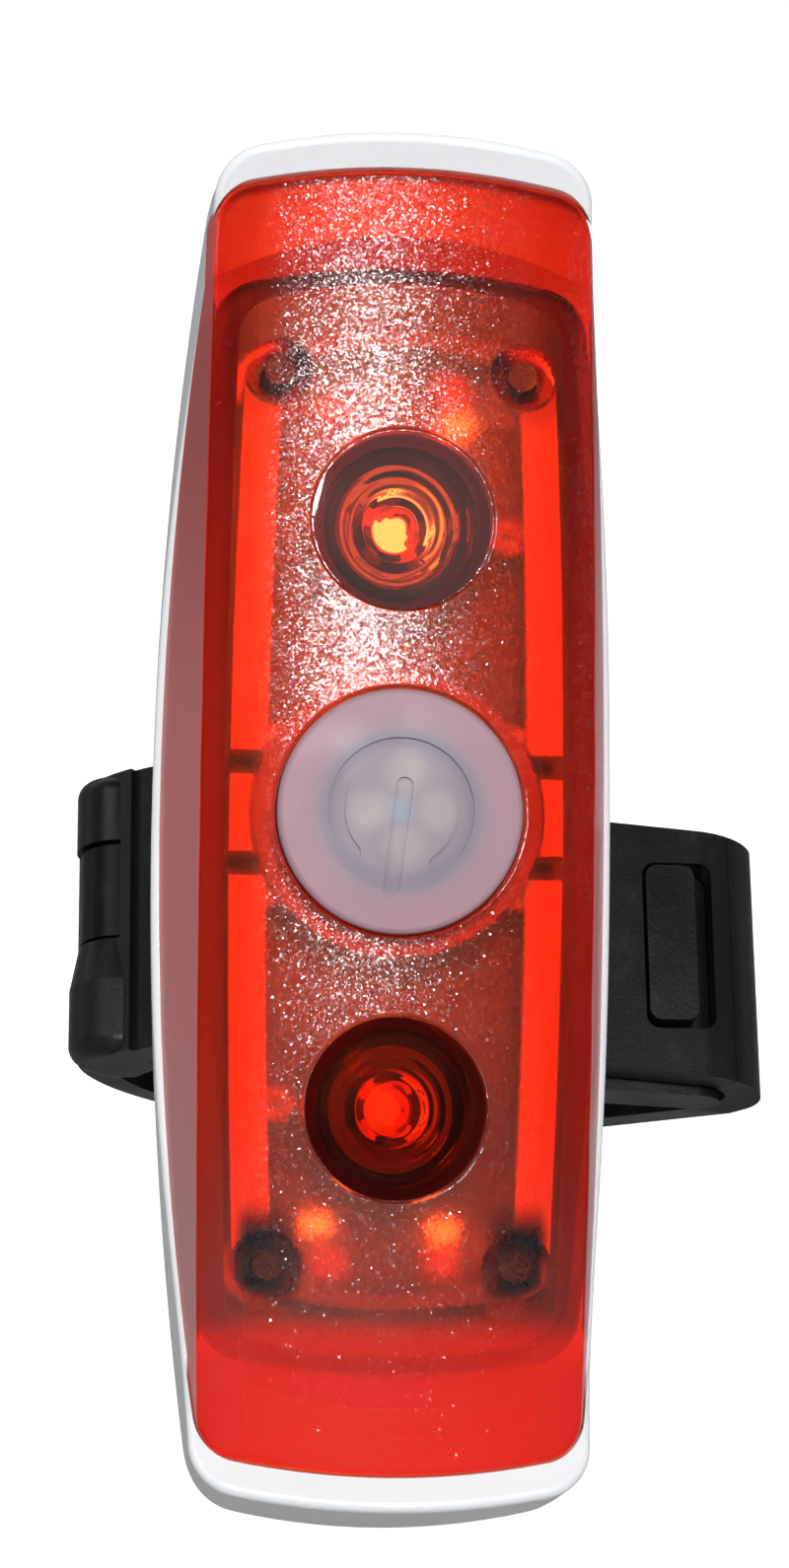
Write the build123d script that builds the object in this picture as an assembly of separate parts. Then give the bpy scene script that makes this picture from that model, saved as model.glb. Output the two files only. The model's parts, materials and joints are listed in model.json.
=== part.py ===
"""Rechargeable rear bike light with a strap mount for a seat post.

The head is built face forward: x to the right, y to the back and z along its length, with its
origin on the button's axis at the face. The mount is built round the post's axis. Both are then
put into the frame, whose origin is on the post's axis at half the strap's height.
"""

import math
import os

from build123d import *

# Where the head stands in the frame, and how the post leans
HEAD_Y = -47.0
HEAD_Z = 7.7
POST_LEAN = 15.0
STRAP_SKEW = 5.0
SADDLE_TOP_SKEW = 5.9
SADDLE_LOW_SKEW = 3.0

# Outline of the head, seen from the front
FACE_HALF_LENGTH = 39.3
COVER_HALF_WIDTH = 11.65
WALL_FLARE = 0.192
SIDE_BOW = 0.69
END_RISE = 1.35
CORNER_R = 2.6
HOLLOW_CORNER_R = 3.2
SIDE_MIDDLE = -3.0
EDGE_ROUND = 0.35
OPENING_ROUND = 0.2

# Face and rim curves
CROWN_R = 46.0
FACE_BOW_R = 620.0
RIM_R = 74.8
RIM_DEPTH = 12.0
RIM_GAP = 0.12
RIM_ROUND = 0.45

# Walls
SKIN = 2.0
LIP_WALL = 1.0
LIP_DEPTH = 1.5
LIP_FIT = 0.1
HOUSING_WALL = 2.0
HOUSING_BACK = 1.8
HOLLOW_INSET = 3.1
HOLLOW_BACK_INSET = 4.1
SHELF_GAP = 0.12

# Inner frame; the end zones of the cover are as long as END_ZONE
END_ZONE = 9.7
FRAME_OUT = 9.95
FRAME_WALL = 2.2
FRAME_HALF_LENGTH = FACE_HALF_LENGTH - END_ZONE
FRAME_END = 0.9
FRAME_FRONT = 3.3
FRAME_IN = FRAME_OUT - FRAME_WALL
LINK_IN = 6.5
LINK_HALF = 5.5
LINK_FRONT = 4.4
SLOT_START = FRAME_IN + 0.15
TAB_Z = 3.05
TAB_H = 1.45
SHELF_START = FRAME_HALF_LENGTH + 3.9

# Main board, from the front of the lenses back
LENS_FRONT_Y = 3.0
LENS_STACK = 5.3
BOARD_Y = LENS_FRONT_Y + LENS_STACK
BOARD_THICK = 1.2
BOARD_BACK = BOARD_Y + BOARD_THICK
BOARD_HALF_WIDTH = FRAME_IN - 0.15
BOARD_HALF_LENGTH = FRAME_HALF_LENGTH - 1.2

# Battery, and the depth of the shell that it gives
CELL_GAP = 2.4
CELL_THICK = 6.0
FOAM_THICK = 0.8
CELL_FRONT = BOARD_BACK + CELL_GAP
CELL_BACK = CELL_FRONT + CELL_THICK
HOUSING_DEPTH = CELL_BACK + FOAM_THICK + HOUSING_BACK
HOLLOW_STEP = HOUSING_DEPTH - 5.9

# Housing sections from front to back: depth, half width at the middle, half length, how much
# narrower the bottom and the top end are, corner radius
HOUSING_STATIONS = (
    (-1.5, COVER_HALF_WIDTH + 0.95, FACE_HALF_LENGTH + 1.8, 1.0, 1.3, 2.8),
    (5.0, COVER_HALF_WIDTH + 1.95, FACE_HALF_LENGTH + 3.0, 2.0, 2.4, 3.4),
    (RIM_DEPTH, COVER_HALF_WIDTH + 2.75, FACE_HALF_LENGTH + 3.6, 3.0, 3.2, 4.0),
    (HOUSING_DEPTH - 4.5, COVER_HALF_WIDTH + 2.35, FACE_HALF_LENGTH + 2.5, 2.7, 2.9, 4.5),
    (HOUSING_DEPTH - 1.5, COVER_HALF_WIDTH + 0.95, FACE_HALF_LENGTH + 0.1, 2.0, 2.3, 4.5),
    (HOUSING_DEPTH, COVER_HALF_WIDTH - 1.35, FACE_HALF_LENGTH - 3.1, 1.5, 1.7, 4.5),
)

# Seal
SEAL_THICK = 1.2
SEAL_SIDE = 1.3
SEAL_END = FRAME_HALF_LENGTH + 0.3
SEAL_SEAT = 0.02

# Button
BUTTON_HOLE_R = 7.5
BUTTON_GAP = 0.12
BUTTON_PROUD = 0.35
FLANGE_R = BUTTON_HOLE_R + 1.1
FLANGE_THICK = 0.7
FLANGE_DROP = 1.0
CAP_WALL = 1.3
STEM_R = 1.5
SYMBOL_R = 3.88
SYMBOL_W = 1.05
SYMBOL_DEPTH = 0.22
SYMBOL_ROLL = -7.0
SYMBOL_GAP = 83.0
SYMBOL_BAR_LOW = -4.7
SYMBOL_BAR_HIGH = 1.5

# Lamps
LAMP_Z = FRAME_HALF_LENGTH - 11.9
WINDOW_R = 5.5
WINDOW_FLAT = 0.7
HOLDER_R = WINDOW_R + 0.1
HOLDER_WALL = 0.8
LENS_FRONT_R = 4.6
LENS_BACK_R = 2.3
LED_SIZE = 3.4
LED_THICK = 0.7
DOME_R = 1.25

# Screw columns
COLUMN_X = 7.3
COLUMN_Z = FRAME_HALF_LENGTH - 2.6
BOSS_R = 2.0
COLUMN_R = 2.5
EAR_THICK = 1.2
BOSS_END = BOARD_Y - EAR_THICK
SCREW_R = 0.9
PILOT_R = 0.9
SCREW_CLEAR = 0.15
SCREW_HEAD_R = 1.7
SCREW_HEAD_H = 1.1
SCREW_SINK = 3.2
SCREW_BITE = 3.4
BOARD_SCREW_X = 6.75
BOARD_SCREW_Z = LAMP_Z - 0.3
BOARD_SCREW_R = 0.45

# Battery's outline
CELL_X = 9.2
CELL_LOW = -(COLUMN_Z - 3.6)
CELL_HIGH = COLUMN_Z - 9.4
PAD_IN = 3.9
PAD_OUT = 6.8
PAD_LOW = CELL_LOW + 9.4
PAD_HIGH = CELL_HIGH - 5.6

# Charging board and socket
PORT_W = 7.5
PORT_H = 2.6
SHELL_WALL = 0.3
SHELL_DEPTH = 5.0
PORT_HOLE_GAP = 0.25
FLAP_POCKET = 1.6
CHARGE_THICK = 1.0
CHARGE_LOW = CELL_HIGH + 2.8
CHARGE_HIGH = FACE_HALF_LENGTH - 6.3
CHARGE_HALF = 4.2
CHARGE_Y = HOUSING_DEPTH - FLAP_POCKET + 0.3 - SHELL_DEPTH - CHARGE_THICK
CHARGE_POST_X = 2.9
CHARGE_POST_R = 0.9
PORT_Z = (CHARGE_LOW + CHARGE_HIGH) / 2 + 0.1

# Rubber flap over the socket
FLAP_W = 11.0
FLAP_LOW = PORT_Z - 6.2
FLAP_HIGH = PORT_Z + 4.6
FLAP_THICK = 1.5
FLAP_GAP = 0.3
FLAP_SWING = 0.5
FLAP_PIN_R = 0.7
FLAP_PIN_OUT = 1.2
PLUG_DEPTH = 1.0

# Rail between head and bracket
SHOE_HALF = 9.0
SHOE_LOW = -19.5
SHOE_HIGH = 5.5
SHOE_DEPTH = 3.6
RAIL_HEAD_HALF = 6.0
RAIL_HEAD_T = 1.5
RAIL_NECK_HALF = 4.0
RAIL_FIT = 0.16
RAIL_STOP = 0.2
RAIL_LENGTH = 17.0
BRACKET_GAP = 0.3

# Seat post, saddle and bracket
POST_R = 15.8
PAD_THICK = 1.8
PAD_SEAT = 0.03
SADDLE_THICK = 2.2
PAD_SPAN = 88.0
SADDLE_SPAN = 124.0
MOUNT_HEIGHT = 17.4
SADDLE_TOP = MOUNT_HEIGHT / 2 + 0.4
SADDLE_LOW = MOUNT_HEIGHT / 2 + 1.4
BLOCK_HALF = 8.2
GROOVE_R = 0.45

# Strap; behind the post both of its edges draw in by the taper angle
STRAP_T = 2.4
STRAP_TAPER = 7.0
TAPER_HALF = 7.6
BEND_X = POST_R + 7.8
BEND_Y = -10.0
BEND_R = 3.2
TAB_SPLIT = -60.0
TAB_INNER_X = POST_R + 0.5
TONGUE_W = 3.3
TONGUE_IN = BEND_X - 3.7
TONGUE_OUT = TONGUE_IN + TONGUE_W
TONGUE_HALF_H = 5.5
TONGUE_DROP = 1.6
TONGUE_FRONT = BEND_Y - 5.1
SLOT_IN = TONGUE_IN - 0.15
SLOT_OUT = TONGUE_OUT + 1.3
SLOT_HALF_H = TONGUE_HALF_H + 0.4
FLANGE_T = 3.2

# Strap pin and its knuckles
PIN_X = -(POST_R - 0.35)
PIN_Y = -9.6
PIN_R = 1.0
PIN_FIT = 0.05
PIN_LOW = 1.9 - MOUNT_HEIGHT / 2
PIN_HIGH = MOUNT_HEIGHT / 2 + 1.3
KNUCKLE_R = 3.1
LOWER_KNUCKLE_R = 3.5
EYE_R = 2.8
EYE_HALF = 3.25
EYE_Z = 2.35
KNUCKLE_ROUND = 1.2
KNUCKLE_CONE = 3.0
KNUCKLE_GAP = 0.25

# Reach of the helper blocks that cut the outer shapes
WIDE = COVER_HALF_WIDTH + 8.0
LONG = FACE_HALF_LENGTH + 8.0
DEEP = HOUSING_DEPTH + 12.0
TALL = MOUNT_HEIGHT + 12.0


def front_plane(y):
    """Plane facing forward at a depth, with its own x to the right and y upward."""
    return Plane(origin=(0, y, 0), x_dir=(1, 0, 0), z_dir=(0, -1, 0))


def outline(half_width, half_length, corner=CORNER_R, bow=SIDE_BOW, top_bow=None, rise=END_RISE):
    """Barrel outline with arced sides and ends and rounded corners."""
    z = half_length - rise
    low, high = half_width - bow, half_width - (bow if top_bow is None else top_bow)
    middle = 0.0 if top_bow is None else SIDE_MIDDLE
    with BuildSketch() as sketch:
        with BuildLine():
            ThreePointArc((low, -z), (half_width, middle), (high, z))
            ThreePointArc((high, z), (0, half_length), (-high, z))
            ThreePointArc((-high, z), (-half_width, middle), (-low, -z))
            ThreePointArc((-low, -z), (0, -half_length), (low, -z))
        make_face()
        fillet(sketch.vertices(), corner)
    return sketch.sketch


def prism(sketch, front, back):
    """Solid of a front-view sketch between two depths."""
    return extrude(front_plane(back) * sketch, amount=back - front)


def box(x0, x1, y0, y1, z0, z1):
    """Block between two corners."""
    return Pos((x0 + x1) / 2, (y0 + y1) / 2, (z0 + z1) / 2) * Box(x1 - x0, y1 - y0, z1 - z0)


def rod(x, z, radius, front, back):
    """Round bar along the depth."""
    return prism(Pos(x, z) * Circle(radius), front, back)


def flared(inset, half_length, front=-4.0, back=19.0):
    """Volume inside the cover line, drawn in by an inset and ending at a half length."""
    a0 = COVER_HALF_WIDTH + WALL_FLARE * front - inset
    a1 = COVER_HALF_WIDTH + WALL_FLARE * back - inset
    faces = [
        front_plane(front) * outline(a0, half_length),
        front_plane(back) * outline(a1, half_length),
    ]
    return loft(faces, ruled=True)


def behind_face(offset):
    """Everything behind the face surface moved back by an offset."""
    radius = CROWN_R - offset
    half = COVER_HALF_WIDTH + 5.35
    crown = radius - math.sqrt(radius**2 - half**2)
    faces = []
    for z in (-LONG, -LONG / 2, 0.0, LONG / 2, LONG):
        y = offset + FACE_BOW_R - math.sqrt(FACE_BOW_R**2 - z**2)
        with BuildSketch() as sketch:
            with BuildLine():
                ThreePointArc((-half, y + crown), (0, y), (half, y + crown))
                Line((half, y + crown), (half, DEEP))
                Line((half, DEEP), (-half, DEEP))
                Line((-half, DEEP), (-half, y + crown))
            make_face()
        faces.append(Pos(0, 0, z) * sketch.sketch)
    return loft(faces)


def before_rim(offset=0.0):
    """Everything in front of the rim curve moved back by an offset."""
    centre = RIM_DEPTH - RIM_R
    return Pos(0, centre, 0) * Rot(0, 90, 0) * Cylinder(RIM_R + offset, 3 * WIDE)


def front_cover():
    """Translucent front shell with its lip, lamp windows and screw bosses."""
    body = flared(0.0, FACE_HALF_LENGTH)
    shell = (body & before_rim(-RIM_GAP / 2)) + (body - behind_face(SKIN))
    lip = flared(LIP_WALL, SHELF_START - LIP_FIT) & before_rim(LIP_DEPTH)
    cover = (shell + lip) & behind_face(0)
    cover -= flared(LIP_WALL * 2, SHELF_START - LIP_FIT - LIP_WALL) & behind_face(SKIN)
    cover = fillet(front_of(cover).outer_wire().edges(), EDGE_ROUND)
    for z in (-LAMP_Z, LAMP_Z):
        cover = opened(cover, rod(0, z, WINDOW_R, -2, WINDOW_FLAT))
    cover = opened(cover, rod(0, 0, BUTTON_HOLE_R, -2, 6))
    for x in (-COLUMN_X, COLUMN_X):
        for z in (-COLUMN_Z, COLUMN_Z):
            cover += rod(x, z, BOSS_R, SKIN - 0.4, BOSS_END)
            cover -= rod(x, z, PILOT_R, BOSS_END - SCREW_BITE - 0.4, BOSS_END)
    return cover


def front_of(cover):
    """Front face of the cover."""
    large = [face for face in cover.faces().filter_by(GeomType.BSPLINE) if face.area > 500]
    return min(large, key=lambda face: face.center().Y)


def opened(cover, cutter):
    """Cover with an opening cut in its front, its edge finely rounded."""
    z = cutter.center().Z
    cover = cover - cutter
    for wire in front_of(cover).inner_wires():
        if abs(wire.center().Z - z) < 1:
            cover = fillet(wire.edges(), OPENING_ROUND)
    return cover


def housing_outer():
    """Outside of the rear shell."""
    faces = []
    for depth, half_width, half_length, low_bow, top_bow, corner in HOUSING_STATIONS:
        faces.append(front_plane(depth) * outline(half_width, half_length, corner, low_bow, top_bow, 1.6))
    return loft(faces)


def rear_housing():
    """White rear shell with end shelves, screw columns, socket pocket and rail channel."""
    body = housing_outer() - before_rim(RIM_GAP / 2)
    rim = body.faces().filter_by(GeomType.CYLINDER).sort_by(SortBy.AREA)[-1]
    body = fillet(rim.edges(), RIM_ROUND)
    # Pocket that takes the skin of the cover at both ends
    body -= flared(-SHELF_GAP, FACE_HALF_LENGTH + SHELF_GAP) - behind_face(SKIN + SHELF_GAP)
    # Rabbet for the lip and the seal
    body -= flared(LIP_WALL - LIP_FIT, SHELF_START) & before_rim(LIP_DEPTH + SEAL_THICK)
    # Main hollow
    back = HOUSING_DEPTH - HOUSING_BACK
    deep = (flared(HOUSING_WALL, SEAL_END + 1.6) - before_rim(-3)) & box(-WIDE, WIDE, 0, HOLLOW_STEP, -LONG, LONG)
    widest, longest = HOUSING_STATIONS[2][1], FACE_HALF_LENGTH
    front, rear = widest - HOLLOW_INSET, widest - HOLLOW_BACK_INSET
    deep += prism(outline(front, longest - 1.3, HOLLOW_CORNER_R, 1.2, 1.4), BOARD_Y - 1.3, HOLLOW_STEP)
    deep += prism(outline(rear, longest - 3.7, HOLLOW_CORNER_R, 1.2, 1.4), HOLLOW_STEP - 1, back)
    body -= deep
    for x in (-COLUMN_X, COLUMN_X):
        for z in (-COLUMN_Z, COLUMN_Z):
            body += rod(x, z, COLUMN_R, BOSS_END + EAR_THICK, back + 0.5)
            body -= rod(x, z, SCREW_R + SCREW_CLEAR, 0, HOUSING_DEPTH + 2)
            body -= rod(x, z, SCREW_HEAD_R + SCREW_CLEAR, HOUSING_DEPTH - SCREW_SINK, HOUSING_DEPTH + 2)
    body += charge_posts()
    body += shoe()
    body -= port_pocket()
    return body


def charge_posts():
    """Two posts that carry the charging board."""
    top = CHARGE_Y + CHARGE_THICK
    back = HOUSING_DEPTH - HOUSING_BACK + 0.5
    z = CHARGE_HIGH - 1.0
    return rod(-CHARGE_POST_X, z, CHARGE_POST_R, top, back) + rod(CHARGE_POST_X, z, CHARGE_POST_R, top, back)


def shoe():
    """Raised pad on the back with a channel that is open at the bottom."""
    y0, y1 = HOUSING_DEPTH - 0.6, HOUSING_DEPTH + SHOE_DEPTH
    pad = box(-SHOE_HALF, SHOE_HALF, y0, y1, SHOE_LOW, SHOE_HIGH)
    pad = fillet(pad.edges().filter_by(Axis.Y), 2.0)
    pad = chamfer(pad.faces().sort_by(Axis.Y)[-1].edges(), 0.5)
    stop = rail_top() + RAIL_STOP
    head = RAIL_HEAD_HALF + RAIL_FIT
    neck = RAIL_NECK_HALF + RAIL_FIT
    front = rail_front() - RAIL_FIT
    pad -= box(-head, head, front, front + RAIL_HEAD_T + 2 * RAIL_FIT, SHOE_LOW - 1, stop)
    pad -= box(-neck, neck, front, y1 + 1, SHOE_LOW - 1, stop)
    return pad


def rail_front():
    """Depth of the rail's front face in the head."""
    return HOUSING_DEPTH + 0.45


def rail_top():
    """Height of the rail's upper end in the head."""
    return RAIL_LENGTH / 2 - HEAD_Z + 0.5


def port_pocket():
    """Recess for the flap, with the socket's hole and the grooves for the flap's pin."""
    y0 = HOUSING_DEPTH - FLAP_POCKET
    pocket = box(
        -FLAP_W / 2 - FLAP_GAP,
        FLAP_W / 2 + FLAP_GAP,
        y0,
        HOUSING_DEPTH + 1,
        FLAP_LOW - FLAP_GAP - FLAP_SWING,
        FLAP_HIGH + FLAP_GAP,
    )
    pocket = fillet(pocket.edges().filter_by(Axis.Y).group_by(Axis.Z)[-1], 1.2)
    pocket = fillet(pocket.edges().filter_by(Axis.Y).group_by(Axis.Z)[0], 0.3)
    gap = PORT_HOLE_GAP
    hole = box(
        -PORT_W / 2 - gap,
        PORT_W / 2 + gap,
        HOUSING_DEPTH - HOUSING_BACK - 1,
        y0 + 0.1,
        PORT_Z - PORT_H / 2 - gap,
        PORT_Z + PORT_H / 2 + gap,
    )
    return pocket + hole + pin_seat()


def flap_pin_centre():
    """Depth and height of the flap's turning line in the head."""
    return HOUSING_DEPTH - FLAP_PIN_R - 0.15, FLAP_LOW + FLAP_PIN_R + 0.1


def pin_seat():
    """Grooves beside the pocket for the ends of the flap's pin."""
    y, z = flap_pin_centre()
    reach = FLAP_W / 2 + FLAP_PIN_OUT + 0.1
    return Pos(0, y, z) * Rot(0, 90, 0) * Cylinder(FLAP_PIN_R - 0.15, 2 * reach)


def port_cover():
    """Rubber flap with its plug, grip lip and two short trunnions."""
    y1 = HOUSING_DEPTH - (FLAP_POCKET - FLAP_THICK) + 0.1
    y0 = y1 - FLAP_THICK + 0.2
    flap = box(-FLAP_W / 2, FLAP_W / 2, y0, y1, FLAP_LOW + 1.0, FLAP_HIGH)
    corners = flap.edges().filter_by(Axis.Y).group_by(Axis.Z)[-1]
    flap = fillet(corners, 1.2)
    y, z = flap_pin_centre()
    turn = Pos(0, y, z) * Rot(0, 90, 0)
    flap += turn * Cylinder(FLAP_PIN_R, FLAP_W)
    flap += turn * Cylinder(FLAP_PIN_R - 0.2, FLAP_W + 2 * FLAP_PIN_OUT)
    flap += box(-FLAP_W / 2, FLAP_W / 2, y - 0.5, y + 0.5, z, FLAP_LOW + 1.4)
    plug = box(
        -PORT_W / 2 + 0.75,
        PORT_W / 2 - 0.75,
        y0 - PLUG_DEPTH,
        y0 + 0.2,
        PORT_Z - PORT_H / 2 + 0.75,
        PORT_Z + PORT_H / 2 - 0.75,
    )
    grip = box(-2.2, 2.2, y1 - 0.3, y1 + 0.6, FLAP_HIGH - 1.6, FLAP_HIGH - 0.6)
    return flap + plug + grip


def seal_ring():
    """Flat seal that follows the rim curve under the cover's lip."""
    outer = flared(LIP_WALL - LIP_FIT + 0.05, SHELF_START - 0.05)
    inner = flared(LIP_WALL - LIP_FIT + SEAL_SIDE + 0.05, SEAL_END)
    inner += prism(outline(FRAME_OUT + 0.2, FRAME_HALF_LENGTH + 0.2, 2.4, 0.65, None, 1.6), 0, HOUSING_DEPTH)
    for x in (-COLUMN_X, COLUMN_X):
        for z in (-COLUMN_Z, COLUMN_Z):
            inner += rod(x, z, COLUMN_R + 0.15, 0, HOUSING_DEPTH)
    band = before_rim(LIP_DEPTH + SEAL_THICK - SEAL_SEAT) - before_rim(LIP_DEPTH + SEAL_SEAT)
    return (outer - inner) & band


def inner_frame():
    """White frame with side rails, a ring round the button and corner ears."""
    rails = flared_frame(FRAME_OUT, FRAME_HALF_LENGTH, 2.4) - flared_frame(
        FRAME_IN, FRAME_HALF_LENGTH - FRAME_END, 1.6
    )
    body = rails
    for side in (-1, 1):
        x0, x1 = sorted((side * LINK_IN, side * SLOT_START))
        body += box(x0, x1, LINK_FRONT, BOARD_Y, -LINK_HALF, LINK_HALF)
        for z in (-TAB_Z, TAB_Z):
            x0, x1 = sorted((side * SLOT_START, side * (FRAME_OUT + 2)))
            body -= box(x0, x1, FRAME_FRONT - 1, BOARD_Y + 0.1, z - TAB_H / 2, z + TAB_H / 2)
    body -= rod(0, 0, FLANGE_R + 0.25, 0, LINK_FRONT)
    ear_y = BOSS_END
    for x in (-COLUMN_X, COLUMN_X):
        for z in (-COLUMN_Z, COLUMN_Z):
            body -= rod(x, z, BOSS_R + 0.2, 0, ear_y)
            body += rod(x, z, COLUMN_R, ear_y, ear_y + EAR_THICK)
            body -= rod(x, z, SCREW_R + SCREW_CLEAR, 0, CELL_FRONT)
    for x, z in board_screw_spots():
        edge = math.copysign(FRAME_IN + 0.4, x)
        x0, x1 = sorted((x, edge))
        front = BOARD_Y - 3.1
        body += rod(x, z, 1.0, front, BOARD_Y) + box(x0, x1, front, BOARD_Y, z - 0.9, z + 0.9)
        body -= rod(x, z, BOARD_SCREW_R, 0, BOARD_Y + 0.1)
    return body & behind_face(SKIN + 0.15) & flared_frame(FRAME_OUT, FRAME_HALF_LENGTH, 2.4)


def flared_frame(half_width, half_length, corner):
    """Straight block with the head's barrel outline."""
    return prism(outline(half_width, half_length, corner, 0.65, None, 1.6), FRAME_FRONT, BOARD_Y)


def board_screw_spots():
    """Places of the two screws that hold the board to the frame."""
    return ((-BOARD_SCREW_X, -BOARD_SCREW_Z), (BOARD_SCREW_X, BOARD_SCREW_Z))


def main_board():
    """Board with corner notches and side tabs in the frame's slots."""
    board = box(
        -BOARD_HALF_WIDTH,
        BOARD_HALF_WIDTH,
        BOARD_Y,
        BOARD_Y + BOARD_THICK,
        -BOARD_HALF_LENGTH,
        BOARD_HALF_LENGTH,
    )
    for side in (-1, 1):
        for z in (-TAB_Z, TAB_Z):
            half = TAB_H / 2 - 0.12
            x0, x1 = sorted((side * (BOARD_HALF_WIDTH - 0.5), side * (FRAME_OUT - 0.1)))
            board += box(x0, x1, BOARD_Y, BOARD_Y + BOARD_THICK, z - half, z + half)
            x0, x1 = sorted((side * (SLOT_START + 0.1), side * (FRAME_OUT - 0.1)))
            board += box(x0, x1, BOARD_Y - 1.2, BOARD_Y + BOARD_THICK, z - half, z + half)
    for x in (-COLUMN_X, COLUMN_X):
        for z in (-COLUMN_Z, COLUMN_Z):
            board -= rod(x, z, COLUMN_R + 0.2, 0, CELL_FRONT)
            x0, x1 = sorted((x, math.copysign(BOARD_HALF_WIDTH + 1, x)))
            z0, z1 = sorted((z - math.copysign(COLUMN_R - 0.6, z), math.copysign(LONG, z)))
            board -= box(x0, x1, 0, CELL_FRONT, z0, z1)
    for x, z in board_screw_spots():
        board -= rod(x, z, BOARD_SCREW_R + 0.1, 0, CELL_FRONT)
    return board


def board_screws():
    """Two small screws from the board's back into the frame."""
    parts = []
    back = BOARD_BACK
    for x, z in board_screw_spots():
        screw = rod(x, z, BOARD_SCREW_R, BOARD_Y - 2.8, back + 0.2) + rod(x, z, 0.8, back, back + 0.6)
        screw -= box(x - 1.2, x + 1.2, back + 0.35, back + 1, z - 0.12, z + 0.12)
        parts.append(screw)
    return parts


def housing_screws():
    """Four screws from the back through the columns into the cover."""
    parts = []
    seat = HOUSING_DEPTH - SCREW_SINK
    for x in (-COLUMN_X, COLUMN_X):
        for z in (-COLUMN_Z, COLUMN_Z):
            screw = rod(x, z, SCREW_R, BOSS_END - SCREW_BITE, seat + 0.2)
            screw += rod(x, z, SCREW_HEAD_R, seat, seat + SCREW_HEAD_H)
            top = seat + SCREW_HEAD_H
            screw -= box(x - 1.1, x + 1.1, top - 0.5, top + 1, z - 0.2, z + 0.2)
            screw -= box(x - 0.2, x + 0.2, top - 0.5, top + 1, z - 1.1, z + 1.1)
            parts.append(screw)
    return parts


def lens_holder(z):
    """Black cup round a lamp, standing on the board."""
    cup = rod(0, z, HOLDER_R, LENS_FRONT_Y, BOARD_Y)
    cup -= rod(0, z, HOLDER_R - HOLDER_WALL, 0, BOARD_Y - 1.0)
    cup -= rod(0, z, LENS_BACK_R + 0.25, 0, BOARD_Y + 1)
    square = LED_SIZE / 2 + 0.2
    cup -= box(-square, square, BOARD_Y - LED_THICK - 0.2, BOARD_Y + 1, z - square, z + square)
    ledge = rod(0, z, HOLDER_R - 0.3, LENS_FRONT_Y + 0.9, LENS_FRONT_Y + 1.7)
    cup += ledge - rod(0, z, LENS_FRONT_R - 0.55, 0, CELL_FRONT)
    return cup


def collimator(z):
    """Clear lens with a stepped rim and a hollow for the lamp's dome."""
    seat = LENS_FRONT_Y + 0.9
    with BuildSketch(Plane.XY) as half:
        with BuildLine():
            Polyline(
                (0, LENS_FRONT_Y + 0.1),
                (LENS_FRONT_R - 1.2, LENS_FRONT_Y + 0.1),
                (LENS_FRONT_R - 1.2, LENS_FRONT_Y + 0.35),
                (LENS_FRONT_R, LENS_FRONT_Y + 0.35),
                (LENS_FRONT_R, seat),
                (LENS_FRONT_R - 0.75, seat),
                (LENS_BACK_R, BOARD_Y - LED_THICK - 0.45),
                (DOME_R + 0.45, BOARD_Y - LED_THICK - 0.45),
                (DOME_R + 0.35, BOARD_Y - 3.0),
                (0, BOARD_Y - 3.3),
                close=True,
            )
        make_face()
    lens = revolve(half.sketch, Axis.Y, 360)
    return Pos(0, 0, z) * lens


def led(z):
    """Lamp package with its dome."""
    half = LED_SIZE / 2
    body = box(-half, half, BOARD_Y - LED_THICK, BOARD_Y, z - half, z + half)
    body = chamfer(body.edges().filter_by(Axis.Y), 0.35)
    dome = Pos(0, BOARD_Y - LED_THICK, z) * Sphere(DOME_R)
    dome = dome & box(-5, 5, 0, BOARD_Y - LED_THICK, z - 5, z + 5)
    return body, dome


def button_cap():
    """Soft cap with its flange, inner stem and a power symbol sunk in the front."""
    radius = BUTTON_HOLE_R - BUTTON_GAP
    cap = rod(0, 0, radius, -2, SKIN + FLANGE_DROP + 0.1)
    dome_r = 90.0
    ball = Pos(0, dome_r - BUTTON_PROUD, 0) * Sphere(dome_r)
    cap = cap & ball
    edge = cap.edges().filter_by(GeomType.CIRCLE).sort_by(Axis.Y)[0]
    cap = fillet(edge, 0.35)
    flange_y = SKIN + FLANGE_DROP
    cap += rod(0, 0, FLANGE_R, flange_y, flange_y + FLANGE_THICK)
    cap -= rod(0, 0, radius - CAP_WALL, CAP_WALL, CELL_FRONT)
    cap += rod(0, 0, STEM_R, CAP_WALL - 0.3, plunger_tip() - 0.05)
    return cap - power_symbol()


def power_symbol():
    """Ring with a gap and a bar through it, for a switch."""
    half_w = SYMBOL_W / 2
    start = -90 + SYMBOL_GAP / 2
    reach = 360 - SYMBOL_GAP
    ring = rod(0, 0, SYMBOL_R + half_w, -3, SYMBOL_DEPTH) - rod(0, 0, SYMBOL_R - half_w, -4, 4)
    with BuildSketch() as wedge:
        with BuildLine():
            Polyline(
                (0, 0),
                (9 * math.cos(math.radians(start)), 9 * math.sin(math.radians(start))),
                (0, -14),
                (-9 * math.cos(math.radians(start)), 9 * math.sin(math.radians(start))),
                close=True,
            )
        make_face()
    ring -= prism(wedge.sketch, -4, 4)
    mark = ring
    for angle in (start, start + reach):
        x = SYMBOL_R * math.cos(math.radians(angle))
        z = SYMBOL_R * math.sin(math.radians(angle))
        mark += rod(x, z, half_w, -3, SYMBOL_DEPTH)
    low, high = SYMBOL_BAR_LOW, SYMBOL_BAR_HIGH
    mark += box(-half_w, half_w, -3, SYMBOL_DEPTH, low, high)
    mark += rod(0, low, half_w, -3, SYMBOL_DEPTH) + rod(0, high, half_w, -3, SYMBOL_DEPTH)
    curve = Pos(0, 90.0 - BUTTON_PROUD + SYMBOL_DEPTH, 0) * Sphere(90.0)
    return (mark - curve).rotate(Axis((0, 0, 0), (0, 1, 0)), -SYMBOL_ROLL)


def plunger_tip():
    """Depth of the switch plunger's front end."""
    return BOARD_Y - 2.3


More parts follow.
